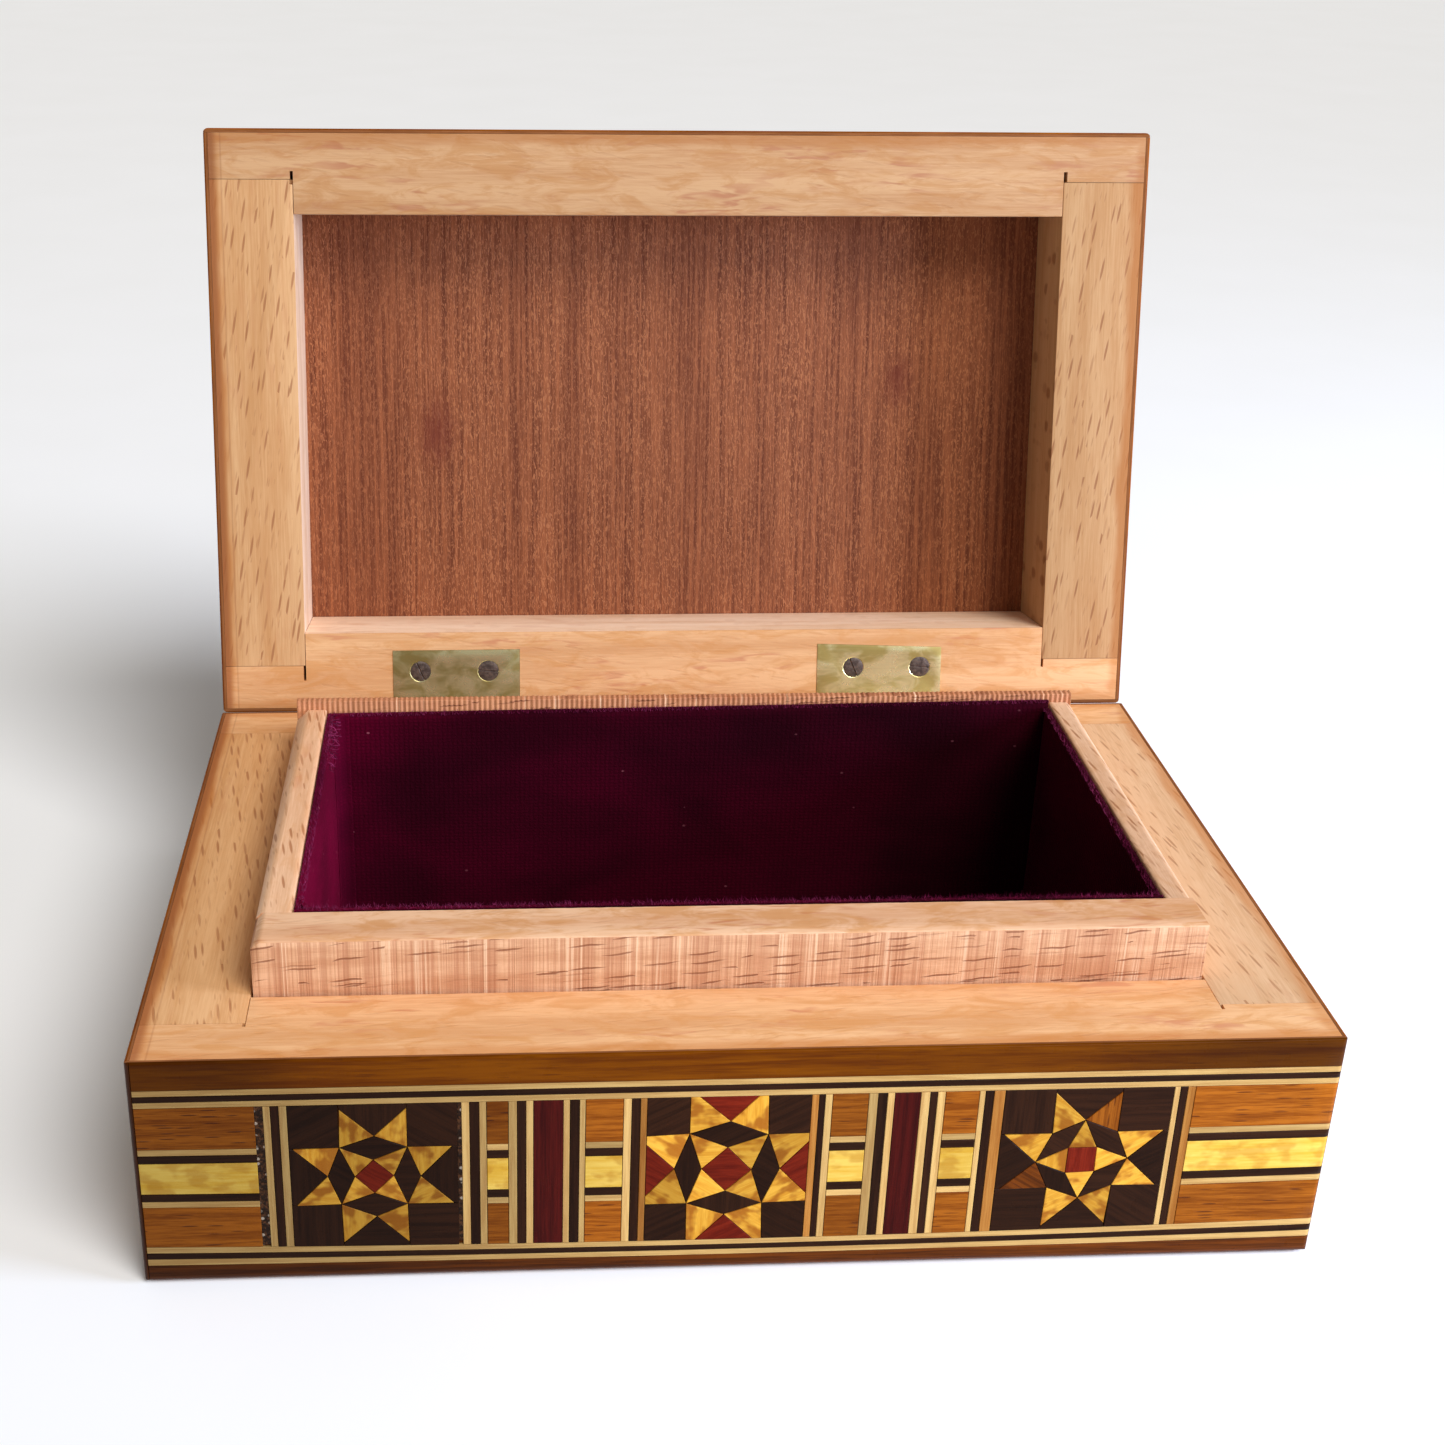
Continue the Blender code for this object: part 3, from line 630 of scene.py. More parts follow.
def velvet(name, light, dark):
    """Velvet: a short pile in faint rows, a little brighter where it is brushed up, with some lint."""
    n = Nodes(name)
    place = n.attribute("place")
    brushed = n.noise(place, (30, 30, 18), 2, 0.5, 0.3)
    pile = n.noise(place, (0.35, 0.35, 0.35), 3, 0.7)
    tuft, _ = n.spots(place, (0.9, 0.9, 0.7), (0.9, 0.9, 0.8), 0.2)
    colour = n.mix(n.span(brushed, 0.30, 0.70), dark, light)
    colour = n.mix(n.span(tuft, 0.0, 0.5, 0.28, 0.0), colour, srgb(26, 0, 9))
    inside, chance = n.spots(place, (3.0, 3.0, 3.0), (0.7, 0.35, 0.5))
    lint = n.times(n.span(inside, 0.0, 0.4), n.span(chance, 0.80, 0.84, 0.0, 0.6))
    colour = n.mix(lint, colour, srgb(150, 80, 90))
    n.bump(n.plus(pile, n.times(tuft, 0.3)), 0.00020, 0.8)
    sheen = {"sheen_weight": 0.22, "sheen_roughness": 0.35, "sheen_tint": srgb(200, 30, 90)}
    return n.finish(toned(n, colour, 0.85), 0.9, specular_ior_level=0.05, **sheen)


def brass():
    """Rolled brass sheet gone olive: faint drawn lines along it and patches that are brighter or duller, the
    brightest partly painted highlight.
    """
    n = Nodes("brass")
    place = n.attribute("place")
    drawn = n.noise(place, (16, 0.2, 0.2), 3, 0.6)
    patch = n.noise(place, (5.0, 3.6, 3.6), 3, 0.55, 0.5)
    # the patch colour is partly tarnish and partly painted highlight on the leaves
    colour = n.mix(n.span(patch, 0.36, 0.66), srgb(176, 156, 92), srgb(246, 234, 176))
    colour = n.mix(n.span(drawn, 0.56, 0.74, 0.0, 0.25), colour, srgb(128, 112, 60))
    n.bump(n.plus(n.times(drawn, 0.6), patch), 0.00003, 0.5)
    return n.finish(toned(n, colour, 0.5), n.span(patch, 0.35, 0.68, 0.46, 0.24), metallic=0.7)


def steel():
    """Dull brown-grey screw heads with rust specks."""
    n = Nodes("steel")
    place = n.attribute("place")
    grime = n.noise(place, (0.9, 0.9, 0.9), 4, 0.65)
    colour = n.mix(n.span(grime, 0.36, 0.64), srgb(84, 70, 64), srgb(138, 124, 114))
    n.bump(grime, 0.00008, 0.6)
    return n.finish(colour, n.span(grime, 0.3, 0.7, 0.55, 0.36), metallic=0.8)


def floor_material():
    n = Nodes("floor")
    tint = n.noise(n.node("TexCoord", {}, "Object"), (60, 60, 60), 2)
    return n.finish(n.mix(tint, srgb(248, 248, 247), srgb(252, 252, 252)), 0.8, specular_ior_level=0.2)


MATERIALS = {
    "beech": beech("beech", srgb(228, 178, 126), srgb(208, 152, 98), 0.70, 0.15, 0.75),
    "rail_beech": beech("rail_beech", srgb(230, 180, 130), srgb(210, 154, 104), 0.10, 0.75, 0.5),
    # painted light: a paler, cooler copy of beech for the base's right wall, standing in for the cool light
    # from the right
    "painted_cool_lit_beech": beech("painted_cool_lit_beech", srgb(229, 188, 146), srgb(210, 164, 120), 0.60, 0.15, 0.55),
    # painted light: a paler copy of beech for the lid's inner walls that the light falls on
    "pale_beech": beech("pale_beech", srgb(250, 218, 188), srgb(232, 192, 156), 0.10, 0.20),
    "pitted_beech": beech("pitted_beech", srgb(232, 188, 150), srgb(212, 162, 122), 0.75, 0.35),
    "ribbed_beech": sawn_beech("ribbed_beech", srgb(204, 140, 98), srgb(176, 108, 70)),
    "plain_beech": beech("plain_beech", srgb(236, 190, 150), srgb(220, 166, 124), 0.12, 0.85),
    "sawn_beech": sawn_beech("sawn_beech", srgb(232, 182, 142), srgb(210, 154, 114)),
    "sapele": sapele("sapele", srgb(148, 83, 47), srgb(99, 46, 21)),
    "velvet": velvet("velvet", srgb(78, 0, 26), srgb(52, 0, 16)),
    "pile": velvet("pile", srgb(146, 52, 92), srgb(104, 18, 52)),
    "brass": brass(),
    "steel": steel(),
    "glue": glue_material(),
    "golden": lacquered("golden", srgb(150, 80, 0), srgb(114, 52, 0), (44, 2.0), 0.25, swing=0.75),
    "border": lacquered("border", srgb(108, 53, 10), srgb(62, 27, 5), (40, 1.2), 0.5, swing=0.6),
    "edge": lacquered("edge", srgb(146, 92, 54), srgb(116, 68, 36), (20, 0.8), 0.0),
    "light": lacquered("light", srgb(202, 166, 104), srgb(176, 136, 80), (22, 0.8), 0.0),
    "tan": lacquered("tan", srgb(184, 126, 60), srgb(158, 98, 40), (22, 0.8), 0.0),
    "black": lacquered("black", srgb(50, 26, 13), srgb(34, 16, 7), (24, 0.8), 0.0),
    "mahogany": lacquered("mahogany", srgb(160, 90, 22), srgb(118, 58, 8), (18, 0.9), 0.8),
    "lemon": lacquered(
        "lemon", srgb(228, 192, 92), srgb(212, 164, 54), (26, 2.2), 0.0, 0.50, srgb(178, 120, 34)
    ),
    "yellow": lacquered(
        "yellow", srgb(222, 168, 62), srgb(200, 138, 40), (14, 1.0), 0.0, 0.85, srgb(150, 84, 22)
    ),
    "maroon": lacquered("maroon", srgb(80, 17, 13), srgb(54, 9, 8), (24, 0.8), 0.15),
    "red": lacquered("red", srgb(130, 36, 17), srgb(98, 21, 8), (12, 0.8), 0.10),
}


# ---------------------------------------------------------------- frames
def rail_outline(rail, stile, side, nicks):
    """A rail from above: its rabbeted ends lap the stiles, and the saw cut a nick past each rabbet."""
    low, high = rail
    outer = (high.y if side > 0 else low.y) + side * (CAD_GAP - SEAM)
    inner = low.y if side > 0 else high.y
    tongue = (stile[1].y if side > 0 else stile[0].y) + side * JOINT
    half = high.x + CAD_GAP - SEAM
    shoulder = abs(stile[0].x if stile[0].x > 0 else stile[1].x) - JOINT
    halves = []
    for sign, (width, length) in zip((-1, 1), nicks):
        slit = shoulder + width * MM
        cut = tongue + side * length * MM
        halves.append(
            [
                (sign * half, outer),
                (sign * half, tongue),
                (sign * slit, tongue),
                (sign * slit, cut),
                (sign * shoulder, cut),
                (sign * shoulder, inner),
            ]
        )
    outline = halves[1] + halves[0][::-1]
    return outline if side < 0 else outline[::-1]


def rail_mesh(rail, stile, side, nicks, low, high):
    inner = rail[0].y if side > 0 else rail[1].y
    mesh = prism_mesh(rail_outline(rail, stile, side, nicks), low, high)
    return eased(mesh, EASED, lambda middle: abs(middle.y - inner) < SEAM and abs(middle.x) < rail[1].x / 2)


def stile_mesh(box, low, high):
    """A stile between the rails, reaching out to the veneer."""
    sign = 1 if box[0].x > 0 else -1
    inner, outer = sorted((abs(box[0].x), abs(box[1].x)))
    xs = sorted((sign * inner, sign * (outer + CAD_GAP - SEAM)))
    mesh = box_mesh((xs[0], box[0].y, low), (xs[1], box[1].y, high))
    return eased(mesh, EASED, lambda middle: abs(middle.x - sign * inner) < SEAM and abs(middle.y) < MM)


def hinge_part(side, on_lid, part):
    return f"{side}_hinge_{'lid' if on_lid else 'base'}_{part}"


def plate_top(name, on_lid):
    """Height of the upper face of a leaf's plate, lid shut; a base leaf's is level with its screws."""
    return box_of(name if on_lid else name.replace("leaf", "screw_1"), shut=on_lid)[1].z


def hinge_beds(rail, on_lid):
    """What the hinges take out of a back rail: their beds and room for the knuckles."""
    tools = []
    for side in ("left", "right"):
        name = hinge_part(side, on_lid, "leaf")
        leaf = box_of(name, shut=on_lid)
        top = plate_top(name, on_lid)
        low_z, high_z = (rail[0].z - MM, top + SEAM) if on_lid else (top - LEAF - SEAM, rail[1].z + MM)
        slant = LEAF_SLANT[side] if on_lid else (0.0, 0.0)
        x0, x1 = leaf[0].x - SEAM, leaf[1].x + SEAM
        y0 = leaf[0].y - SEAM
        back = rail[1].y + MM
        outline = ((x0, y0 + slant[0]), (x1, y0 + slant[1]), (x1, back), (x0, back))
        tools.append(prism_mesh(outline, low_z, high_z))
        reach = leaf[1].y - AXIS.y + CAD_GAP
        low = (x0 - CAD_GAP, AXIS.y - reach, AXIS.z - reach)
        tools.append(box_mesh(low, (x1 + CAD_GAP, AXIS.y + reach, AXIS.z + reach)))
    return tools


def make_frame(on_lid, names):
    """The four members of the base's or the lid's frame, named front, back, left and right."""
    front, back, left, right = (box_of(name, shut=on_lid) for name in names)
    low, high = front[0].z, front[1].z
    if on_lid:
        high += CAD_GAP - SEAM
    for name, box, side in zip(names, (front, back), (-1, 1)):
        mesh = rail_mesh(box, right, side, NICKS[name], low, high)
        if side > 0:
            mesh = carved(mesh, hinge_beds(box, on_lid))
        work = Woodwork()
        work.add_mesh(mesh, "rail_beech", "X", WOOD_TONES[name])
        inner = box[0].y if side > 0 else box[1].y
        if on_lid:
            # painted light: the rails' inner faces take the paler, lit copy of beech
            work.swap("pale_beech", lambda p: abs(p[1] - inner) < SEAM)
        work.piece(f"{name}_wood", [name], "beech")
    for name, box in zip(names[2:], (left, right)):
        mesh = stile_mesh(box, low, high)
        inner = min(abs(box[0].x), abs(box[1].x))
        if name == "lid_left_stile":
            corner = (-inner - NOTCH[0], box[0].y - MM, low - MM)
            mesh = carved(mesh, [box_mesh(corner, (-inner + MM, box[0].y + NOTCH[1], low + MM))])
        work = Woodwork()
        # painted light: the right wall takes the paler, cooler lit copy of beech
        wood = "painted_cool_lit_beech" if name == "base_right_wall" else "beech"
        work.add_mesh(mesh, wood, "Y", WOOD_TONES[name])
        if name == "lid_left_stile":
            # painted light: the left stile's inner wall, lit from the right, takes the paler copy; the right
            # stile's wall, in shade, keeps beech
            work.swap("pale_beech", lambda p: abs(p[0] + inner) < SEAM)
        work.piece(f"{name}_wood", [name], "beech")


def make_boards():
    """The bottom board, and the thin one in the lid."""
    for name, on_lid in (("base_bottom_board", False), ("lid_panel", True)):
        low, high = box_of(name, shut=on_lid)
        grow = Vector((1, 1, 0)) * (CAD_GAP - SEAM)
        board = box_mesh(low - grow, high + grow)
        if not on_lid:
            board = eased(board, FOOT, lambda middle: middle.z < low.z + SEAM)
        single(f"{name}_wood", name, board, "sapele", "sapele", "Y", 0.5, Vector((0.02, 0.01, 0)))


# ---------------------------------------------------------------- liner
def strip_grid(along, section, wobble):
    """A strip with a section, a loop of points, at each place along it. wobble moves each point."""
    points = [wobble(u, p) for u in along for p in section(u)]
    count = len(section(along[0]))
    faces = [list(range(count)), [len(points) - 1 - i for i in range(count)]]
    for ring in range(len(along) - 1):
        first = ring * count
        for i in range(count):
            j = (i + 1) % count
            faces.append((first + j, first + i, first + count + i, first + count + j))
    return points, faces


def loop_between(corners, steps):
    """Points round a polygon, with the given number of steps on each edge."""
    points = []
    for (a, b), count in zip(zip(corners, corners[1:] + corners[:1]), steps):
        points += [Vector(a).lerp(Vector(b), i / count) for i in range(count)]
    return points


def saw_depth(u, seed):
    """How far the saw bit at a place along the strip: uneven ridges with a deeper pair here and there."""
    ridge = noise.noise(Vector((u * 900, seed, 0.3)))
    step = noise.noise(Vector((u * 160, seed, 7.1)))
    return abs(0.035 * ridge + 0.05 * step) * MM


def rib(u):
    """The coarse ribs that a band saw left on the back strip, from 0 to 1."""
    drift = 0.4 * noise.noise(Vector((u * 60, 0.0, 4.0)))
    return 0.5 + 0.5 * math.sin(2 * math.pi * (u / RIB + drift))


def places_along(start, end, step):
    count = int((end - start) / step)
    return [start + (end - start) * i / count for i in range(count + 1)]


def make_front_liner():
    """The front strip: sawn in front, planed on top, its left end sloping down."""
    name = "liner_front_strip"
    low, high = box_of(name)

    def section(u):
        top = high.z - max(0.0, FRONT_SLOPE - (u - low.x))
        corners = [(low.y, low.z), (low.y, top - EASED), (low.y + EASED, top), (high.y, top), (high.y, low.z)]
        return loop_between(corners, (6, 1, 4, 6, 2))

    def wobble(u, p):
        y, z = p
        if abs(y - low.y) < CLOSE:
            y += saw_depth(u, -1)
        if z > high.z - CLOSE:
            z -= abs(noise.noise(Vector((u * 500, y * 900, 2.0)))) * 0.06 * MM
        return (u, y, z)

    work = Woodwork()
    work.add(*strip_grid(places_along(low.x, high.x, SAWN_STEP), section, wobble), "sawn_beech", tone=0.48)
    work.swap("plain_beech", lambda p: p[2] > high.z - FRONT_SLOPE)
    work.piece(f"{name}_wood", [name], "beech", smooth=1.0)


def make_back_liner():
    """The back strip: coarsely ribbed, its rear edge sloping."""
    name = "liner_back_strip"
    low, high = box_of(name)

    def section(u):
        corners = [(high.y, low.z), (high.y, high.z - 0.6 * MM), (high.y - 0.5 * MM, high.z)]
        corners += [(low.y + EASED, high.z), (low.y, high.z - EASED), (low.y, low.z)]
        return loop_between(corners, (4, 1, 4, 1, 8, 2))[::-1]

    def wobble(u, p):
        y, z = p
        bite = 0.20 * MM * (1 - rib(u))
        if abs(y - low.y) < CLOSE:
            y += bite
        if z > high.z - CLOSE:
            z -= bite * 0.7 + abs(noise.noise(Vector((u * 700, y * 900, 2.0)))) * 0.10 * MM
        return (u, y, z)

    along = places_along(low.x, high.x, 0.13 * MM)
    # painted shade: the tone follows the ribs, darker in the hollows that the saw bit deeper
    tones = [0.40 + 0.24 * rib(u) for u in along for _ in section(u)]
    work = Woodwork()
    work.add(*strip_grid(along, section, wobble), "ribbed_beech", tone=tones)
    piece = work.piece(f"{name}_wood", [name], "beech", smooth=1.0)
    face_outwards(piece.data)


def make_side_liner(name, sign, bevels, roughness, tone):
    """A side strip. Its outer bevel, in mm, widens towards the back; its top is more or less rough."""
    low, high = box_of(name)
    outer, inner = (low.x, high.x) if sign < 0 else (high.x, low.x)
    start, end = low.y - CAD_GAP + SEAM, high.y + CAD_GAP - SEAM

    def section(u):
        share = (u - start) / (end - start)
        bevel = (bevels[0] + (bevels[1] - bevels[0]) * share) * MM
        corners = [
            (outer, low.z),
            (inner, low.z),
            (inner, high.z - EASED),
            (inner + sign * EASED, high.z),
            (outer - sign * bevel, high.z),
            (outer, high.z - bevel),
        ]
        if sign > 0:
            return loop_between(corners, (2, 6, 1, 6, 3, 6))
        return loop_between(corners[::-1], (3, 6, 1, 6, 2, 6))

    def wobble(u, p):
        x, z = p
        if z > high.z - CLOSE:
            z -= abs(noise.noise(Vector((u * 700, x * 1300, sign)))) * roughness * MM
        if abs(x - outer) < CLOSE:
            x -= sign * saw_depth(u, sign)
        return (x, u, z)

    points, faces = strip_grid(places_along(start, end, SAWN_STEP), section, wobble)
    work = Woodwork()
    work.add(points, faces, "sawn_beech", GRAIN["Y"], tone)
    work.swap("pitted_beech", lambda p: p[2] > high.z - 3 * MM)
    piece = work.piece(f"{name}_wood", [name], "beech", smooth=1.0)
    face_outwards(piece.data)


def face_outwards(mesh):
    bm = bmesh.new()
    bm.from_mesh(mesh)
    bmesh.ops.recalc_face_normals(bm, faces=bm.faces)
    bm.to_mesh(mesh)
    bm.free()


# ---------------------------------------------------------------- velvet
def cushioned(box, thin):
    """A panel as a closed grid: rounded at its edges and a little uneven. thin is the axis across it and
    inward, +1 or -1, the way its pile faces."""
    axis, inward = thin
    low, high = box
    u_axis, v_axis = [i for i in range(3) if i != axis]
    counts = [max(2, round((high[i] - low[i]) / CLOTH_STEP)) for i in (u_axis, v_axis)]
    back = low[axis] if inward > 0 else high[axis]
    depth = high[axis] - low[axis]
    points, faces = [], []
    for layer in (0, 1):
        for i in range(counts[0] + 1):
            for j in range(counts[1] + 1):
                p = Vector((0, 0, 0))
                p[u_axis] = low[u_axis] + (high[u_axis] - low[u_axis]) * i / counts[0]
                p[v_axis] = low[v_axis] + (high[v_axis] - low[v_axis]) * j / counts[1]
                p[axis] = back
                if layer:
                    near = min(min(p[k] - low[k], high[k] - p[k]) for k in (u_axis, v_axis))
                    share = min(1.0, near / CLOTH_STEP + 0.25)
                    swell = math.sqrt(1 - (1 - share) ** 2)
                    ripple = noise.noise(p * 120) * 0.10 + noise.noise(p * 900) * 0.05
                    p[axis] += inward * depth * min(1.0, swell * (0.9 + ripple))
                points.append(p)
    rows = counts[1] + 1
    layer_size = (counts[0] + 1) * rows
    for layer in (0, 1):
        for i in range(counts[0]):
            for j in range(counts[1]):
                a = layer * layer_size + i * rows + j
                quad = (a, a + rows, a + rows + 1, a + 1)
                faces.append(quad if layer else quad[::-1])
    rim = [i * rows for i in range(counts[0])] + [counts[0] * rows + j for j in range(counts[1])]
    rim += [i * rows + counts[1] for i in range(counts[0], 0, -1)] + list(range(counts[1], 0, -1))
    for a, b in zip(rim, rim[1:] + rim[:1]):
        faces.append((a, b, b + layer_size, a + layer_size))
    return points, faces


def make_velvet():
    """Five sheets of velvet over card, each glued to the liner or the bottom."""
    panels = {
        "velvet_floor": ((2, 1), ("base_bottom_board_wood",)),
        "velvet_front_panel": ((1, 1), ("liner_front_strip_wood",)),
        "velvet_back_panel": ((1, -1), ("liner_back_strip_wood",)),
        "velvet_left_panel": ((0, 1), ("liner_left_strip_wood",)),
        "velvet_right_panel": ((0, -1), ("liner_right_strip_wood",)),
    }
    cavity = box_of(*panels)
    for name, (thin, rests_on) in panels.items():
        box = box_of(name)
        if name != "velvet_floor":
            box[0].z -= CAD_GAP + PANEL_DROP
        if name == "velvet_front_panel":
            box[1].z += FRONT_PILE
        work = Woodwork()
        points, faces = cushioned(box, thin)
        if name == "velvet_back_panel":
            for p in points:
                p.z += slanted_top(p.x, cavity) * (p.z - box[0].z) / (box[1].z - box[0].z)
        # painted light: the velvet's tone lighter at the left wall, darker towards the right
        work.add(points, faces, "velvet", tone=[velvet_light_tone(p.x, cavity) for p in points])
        if name == "velvet_left_panel":
            for end, way in ((box[0].y, 1), (box[1].y, -1)):
                add_fold(work, box[1].x, end, way, box[0].z, box[1].z, cavity)
        fuzz = Woodwork()
        if name != "velvet_floor":
            add_fuzz(fuzz, box, thin[0], cavity if name == "velvet_back_panel" else None)
        if name == "velvet_left_panel":
            add_tangle(fuzz, box)
        piece = work.piece(f"{name}_cloth", [name], "velvet", smooth=1.2)
        face_outwards(piece.data)
        extra = []
        if name != "velvet_floor":
            extra = [fuzz.piece(f"{name}_fuzz", [name], "velvet", smooth=1.2)]


def velvet_light_tone(x, cavity):
    """Painted light and sheen: the velvet is drawn lighter at the left wall, where the light from the right
    falls, and darker towards the right.
    """
    share = (x - cavity[0].x) / (cavity[1].x - cavity[0].x)
    return 0.30 + 0.18 * (1 - share) + 0.42 * max(0.0, 1 - share / 0.13) ** 1.5


def slanted_top(x, cavity):
    share = (x - cavity[0].x) / (cavity[1].x - cavity[0].x)
    return BACK_SLANT[0] + (BACK_SLANT[1] - BACK_SLANT[0]) * share


def add_fold(work, x, y, way, low, high, cavity):
    """The velvet's rounded turn from the left panel into the one at its end."""
    steps = 8
    outline = []
    for radius, turns in ((FOLD, range(steps + 1)), (FOLD + CLOTH, range(steps, -1, -1))):
        for i in turns:
            angle = math.pi / 2 * i / steps
            outline.append((x + FOLD - radius * math.cos(angle), y + way * (FOLD - radius * math.sin(angle))))
    if way > 0:
        outline.reverse()
    mesh = prism_mesh(outline, low, high)
    # painted light, as on the panels
    tones = [velvet_light_tone(v.co.x, cavity) for v in mesh.vertices]
    work.add_mesh(mesh, "velvet", tone=tones)


def add_fuzz(work, box, thin_axis, slanted=None):
    """Loose pile along a panel's cut top edge."""
    low, high = box
    run = 1 - thin_axis
    count = int((high[run] - low[run]) / PILE_SPACING)
    for _ in range(count):
        root = Vector((0, 0, high.z - RANDOM.uniform(0.05, 0.35) * MM))
        root[run] = RANDOM.uniform(low[run], high[run])
        root[thin_axis] = RANDOM.uniform(low[thin_axis], high[thin_axis])
        if slanted:
            root.z += slanted_top(root.x, slanted)
        lean = Vector((RANDOM.uniform(-1, 1), RANDOM.uniform(-1, 1), RANDOM.uniform(0.6, 1.6)))
        tip = root + lean.normalized() * RANDOM.uniform(0.4, 1.0) * MM
        ring = [root + Vector((math.cos(t), math.sin(t), 0)) * PILE_RADIUS for t in THREE_WAYS]
        faces = [(2, 1, 0), (0, 1, 3), (1, 2, 3), (2, 0, 3)]
        work.add(ring + [tip], faces, "pile", tone=RANDOM.uniform(0.2, 0.7))


def add_tangle(work, box):
    """Pulled threads where the cloth frayed at the top of the back left corner."""
    high = box[1]
    for _ in range(FRAY_THREADS):
        back = RANDOM.random() ** 2 * FRAY[0]
        down = RANDOM.random() ** 1.5 * FRAY[1]
        point = Vector((high.x - 0.4 * MM, high.y - 0.6 * MM - back, high.z - down))
        heading = Vector((RANDOM.uniform(-0.3, 1), RANDOM.uniform(-1, 1), RANDOM.uniform(-1, 1))).normalized()
        rings = []
        for _ in range(FRAY_STEPS):
            for t in THREE_WAYS:
                rings.append(point + Vector((math.cos(t), math.sin(t), math.sin(t + 1))) * FRAY_RADIUS)
            curl = Vector((RANDOM.uniform(-1, 1), RANDOM.uniform(-1, 1), RANDOM.uniform(-1, 1)))
            heading = (heading + curl * 0.7).normalized()
            point = point + heading * 0.40 * MM
            point.x = min(max(point.x, high.x - 0.5 * MM), high.x + 2.6 * MM)
            point.z = min(point.z, high.z + 0.3 * MM)
            point.y = min(point.y, high.y - 0.5 * MM)
        last = 3 * (FRAY_STEPS - 1)
        faces = [(2, 1, 0), (last, last + 1, last + 2)]
        for first in range(0, last, 3):
            for a, b in ((0, 1), (1, 2), (2, 0)):
                faces.append((first + a, first + b, first + 3 + b, first + 3 + a))
        work.add(rings, faces, "pile", tone=RANDOM.uniform(0.2, 0.8))


# ---------------------------------------------------------------- hinges
def make_hinges():
    for side in ("left", "right"):
        pin = box_of(f"{side}_hinge_pin")
        radius = (pin[1].z - pin[0].z) / 2
        centre = (pin[0] + pin[1]) / 2
        make_leaf(side, False, centre, radius)
        make_leaf(side, True, centre, radius)
        rod = eased(rod_mesh(centre, (1, 0, 0), pin[1].x - pin[0].x, radius), 0.12 * MM)
        single(f"{side}_hinge_pin_rod", f"{side}_hinge_pin", rod, "brass", "brass", tone=0.4)
        for on_lid in (False, True):
            for number in (1, 2):
                make_screw(hinge_part(side, on_lid, f"screw_{number}"), on_lid, number)


def make_leaf(side, on_lid, pin, pin_radius):
    """A plate with its knuckles rolled round the pin, countersunk for two screws."""
    name = hinge_part(side, on_lid, "leaf")
    low, high = box_of(name, shut=on_lid)
    knuckle = high.y - AXIS.y
    slant = LEAF_SLANT[side] if on_lid else (0.0, 0.0)
    outline = ((low.x, low.y + slant[0]), (high.x, low.y + slant[1]), (high.x, AXIS.y), (low.x, AXIS.y))
    top = plate_top(name, on_lid)
    mesh = prism_mesh(outline, top - LEAF, top)
    outer = (high.x - low.x - MIDDLE_KNUCKLE) / 2 - CAD_GAP
    reach = (high.x - low.x - outer) / 2
    middle = [(pin.x, MIDDLE_KNUCKLE)]
    ends = [(pin.x - reach, outer), (pin.x + reach, outer)]
    own, others = (middle, ends) if on_lid else (ends, middle)
    along = (1, 0, 0)

    def rolls(knuckles, gap):
        return [rod_mesh((x, AXIS.y, AXIS.z), along, size + 2 * gap, knuckle + gap) for x, size in knuckles]

    mesh = carved(mesh, rolls(others, CAD_GAP))
    mesh = carved(mesh, rolls(own, 0.0), "UNION")
    tools = [rod_mesh(pin, along, high.x - low.x + 2 * MM, pin_radius + 0.06 * MM)]
    for number in (1, 2):
        screw = box_of(name.replace("leaf", f"screw_{number}"), shut=on_lid)
        radius = (screw[1].x - screw[0].x) / 2
        x, y = (screw[0].x + screw[1].x) / 2, (screw[0].y + screw[1].y) / 2
        inward = 1 if on_lid else -1
        centre = (x, y, top - LEAF / 2)
        tools.append(rod_mesh(centre, (0, 0, inward), LEAF + 0.2 * MM, radius + SCREW_GAP, radius * 0.45))
    mesh = eased(carved(mesh, tools), 0.07 * MM, lambda middle: middle.y < AXIS.y - knuckle - SEAM)
    single(f"{name}_plate", name, mesh, "brass", "brass", tone=0.32 if side == "left" else 0.62)


def make_screw(name, on_lid, number):
    """A countersunk screw with a slot; its head is slightly domed."""
    low, high = box_of(name, shut=on_lid)
    radius = (high.x - low.x) / 2
    x, y = (low.x + high.x) / 2, (low.y + high.y) / 2
    depth = high.z - low.z
    profile = [(0.45, -0.01 * MM), (0.86, -0.06 * MM), (1.0, -0.16 * MM), (0.55, -0.95 * MM), (0.5, -depth)]
    bm = bmesh.new()
    ring_points = []
    for share, z in profile:
        r = radius * share
        angles = [2 * math.pi * i / ROUND for i in range(ROUND)]
        ring_points.append([bm.verts.new((r * math.cos(t), r * math.sin(t), z)) for t in angles])
    bm.faces.new(ring_points[0])
    bm.faces.new(reversed(ring_points[-1]))
    for upper, lower in zip(ring_points, ring_points[1:]):
        for i in range(ROUND):
            j = (i + 1) % ROUND
            bm.faces.new((upper[j], upper[i], lower[i], lower[j]))
    mesh = from_bmesh(bm)
    width, deep = SLOT
    slot = box_mesh((-radius * 1.2, -width / 2, -deep), (radius * 1.2, width / 2, MM))
    slot.transform(Matrix.Rotation(math.radians(20 + 62 * number + 31 * on_lid), 4, "Z"))
    mesh = eased(carved(mesh, [slot]), 0.03 * MM, segments=1)
    flip = Matrix.Rotation(math.pi, 4, "X") if on_lid else Matrix.Identity(4)
    mesh.transform(Matrix.Translation((x, y, low.z if on_lid else high.z)) @ flip)
    single(f"{name}_slotted", name, mesh, "steel", "screw_steel")


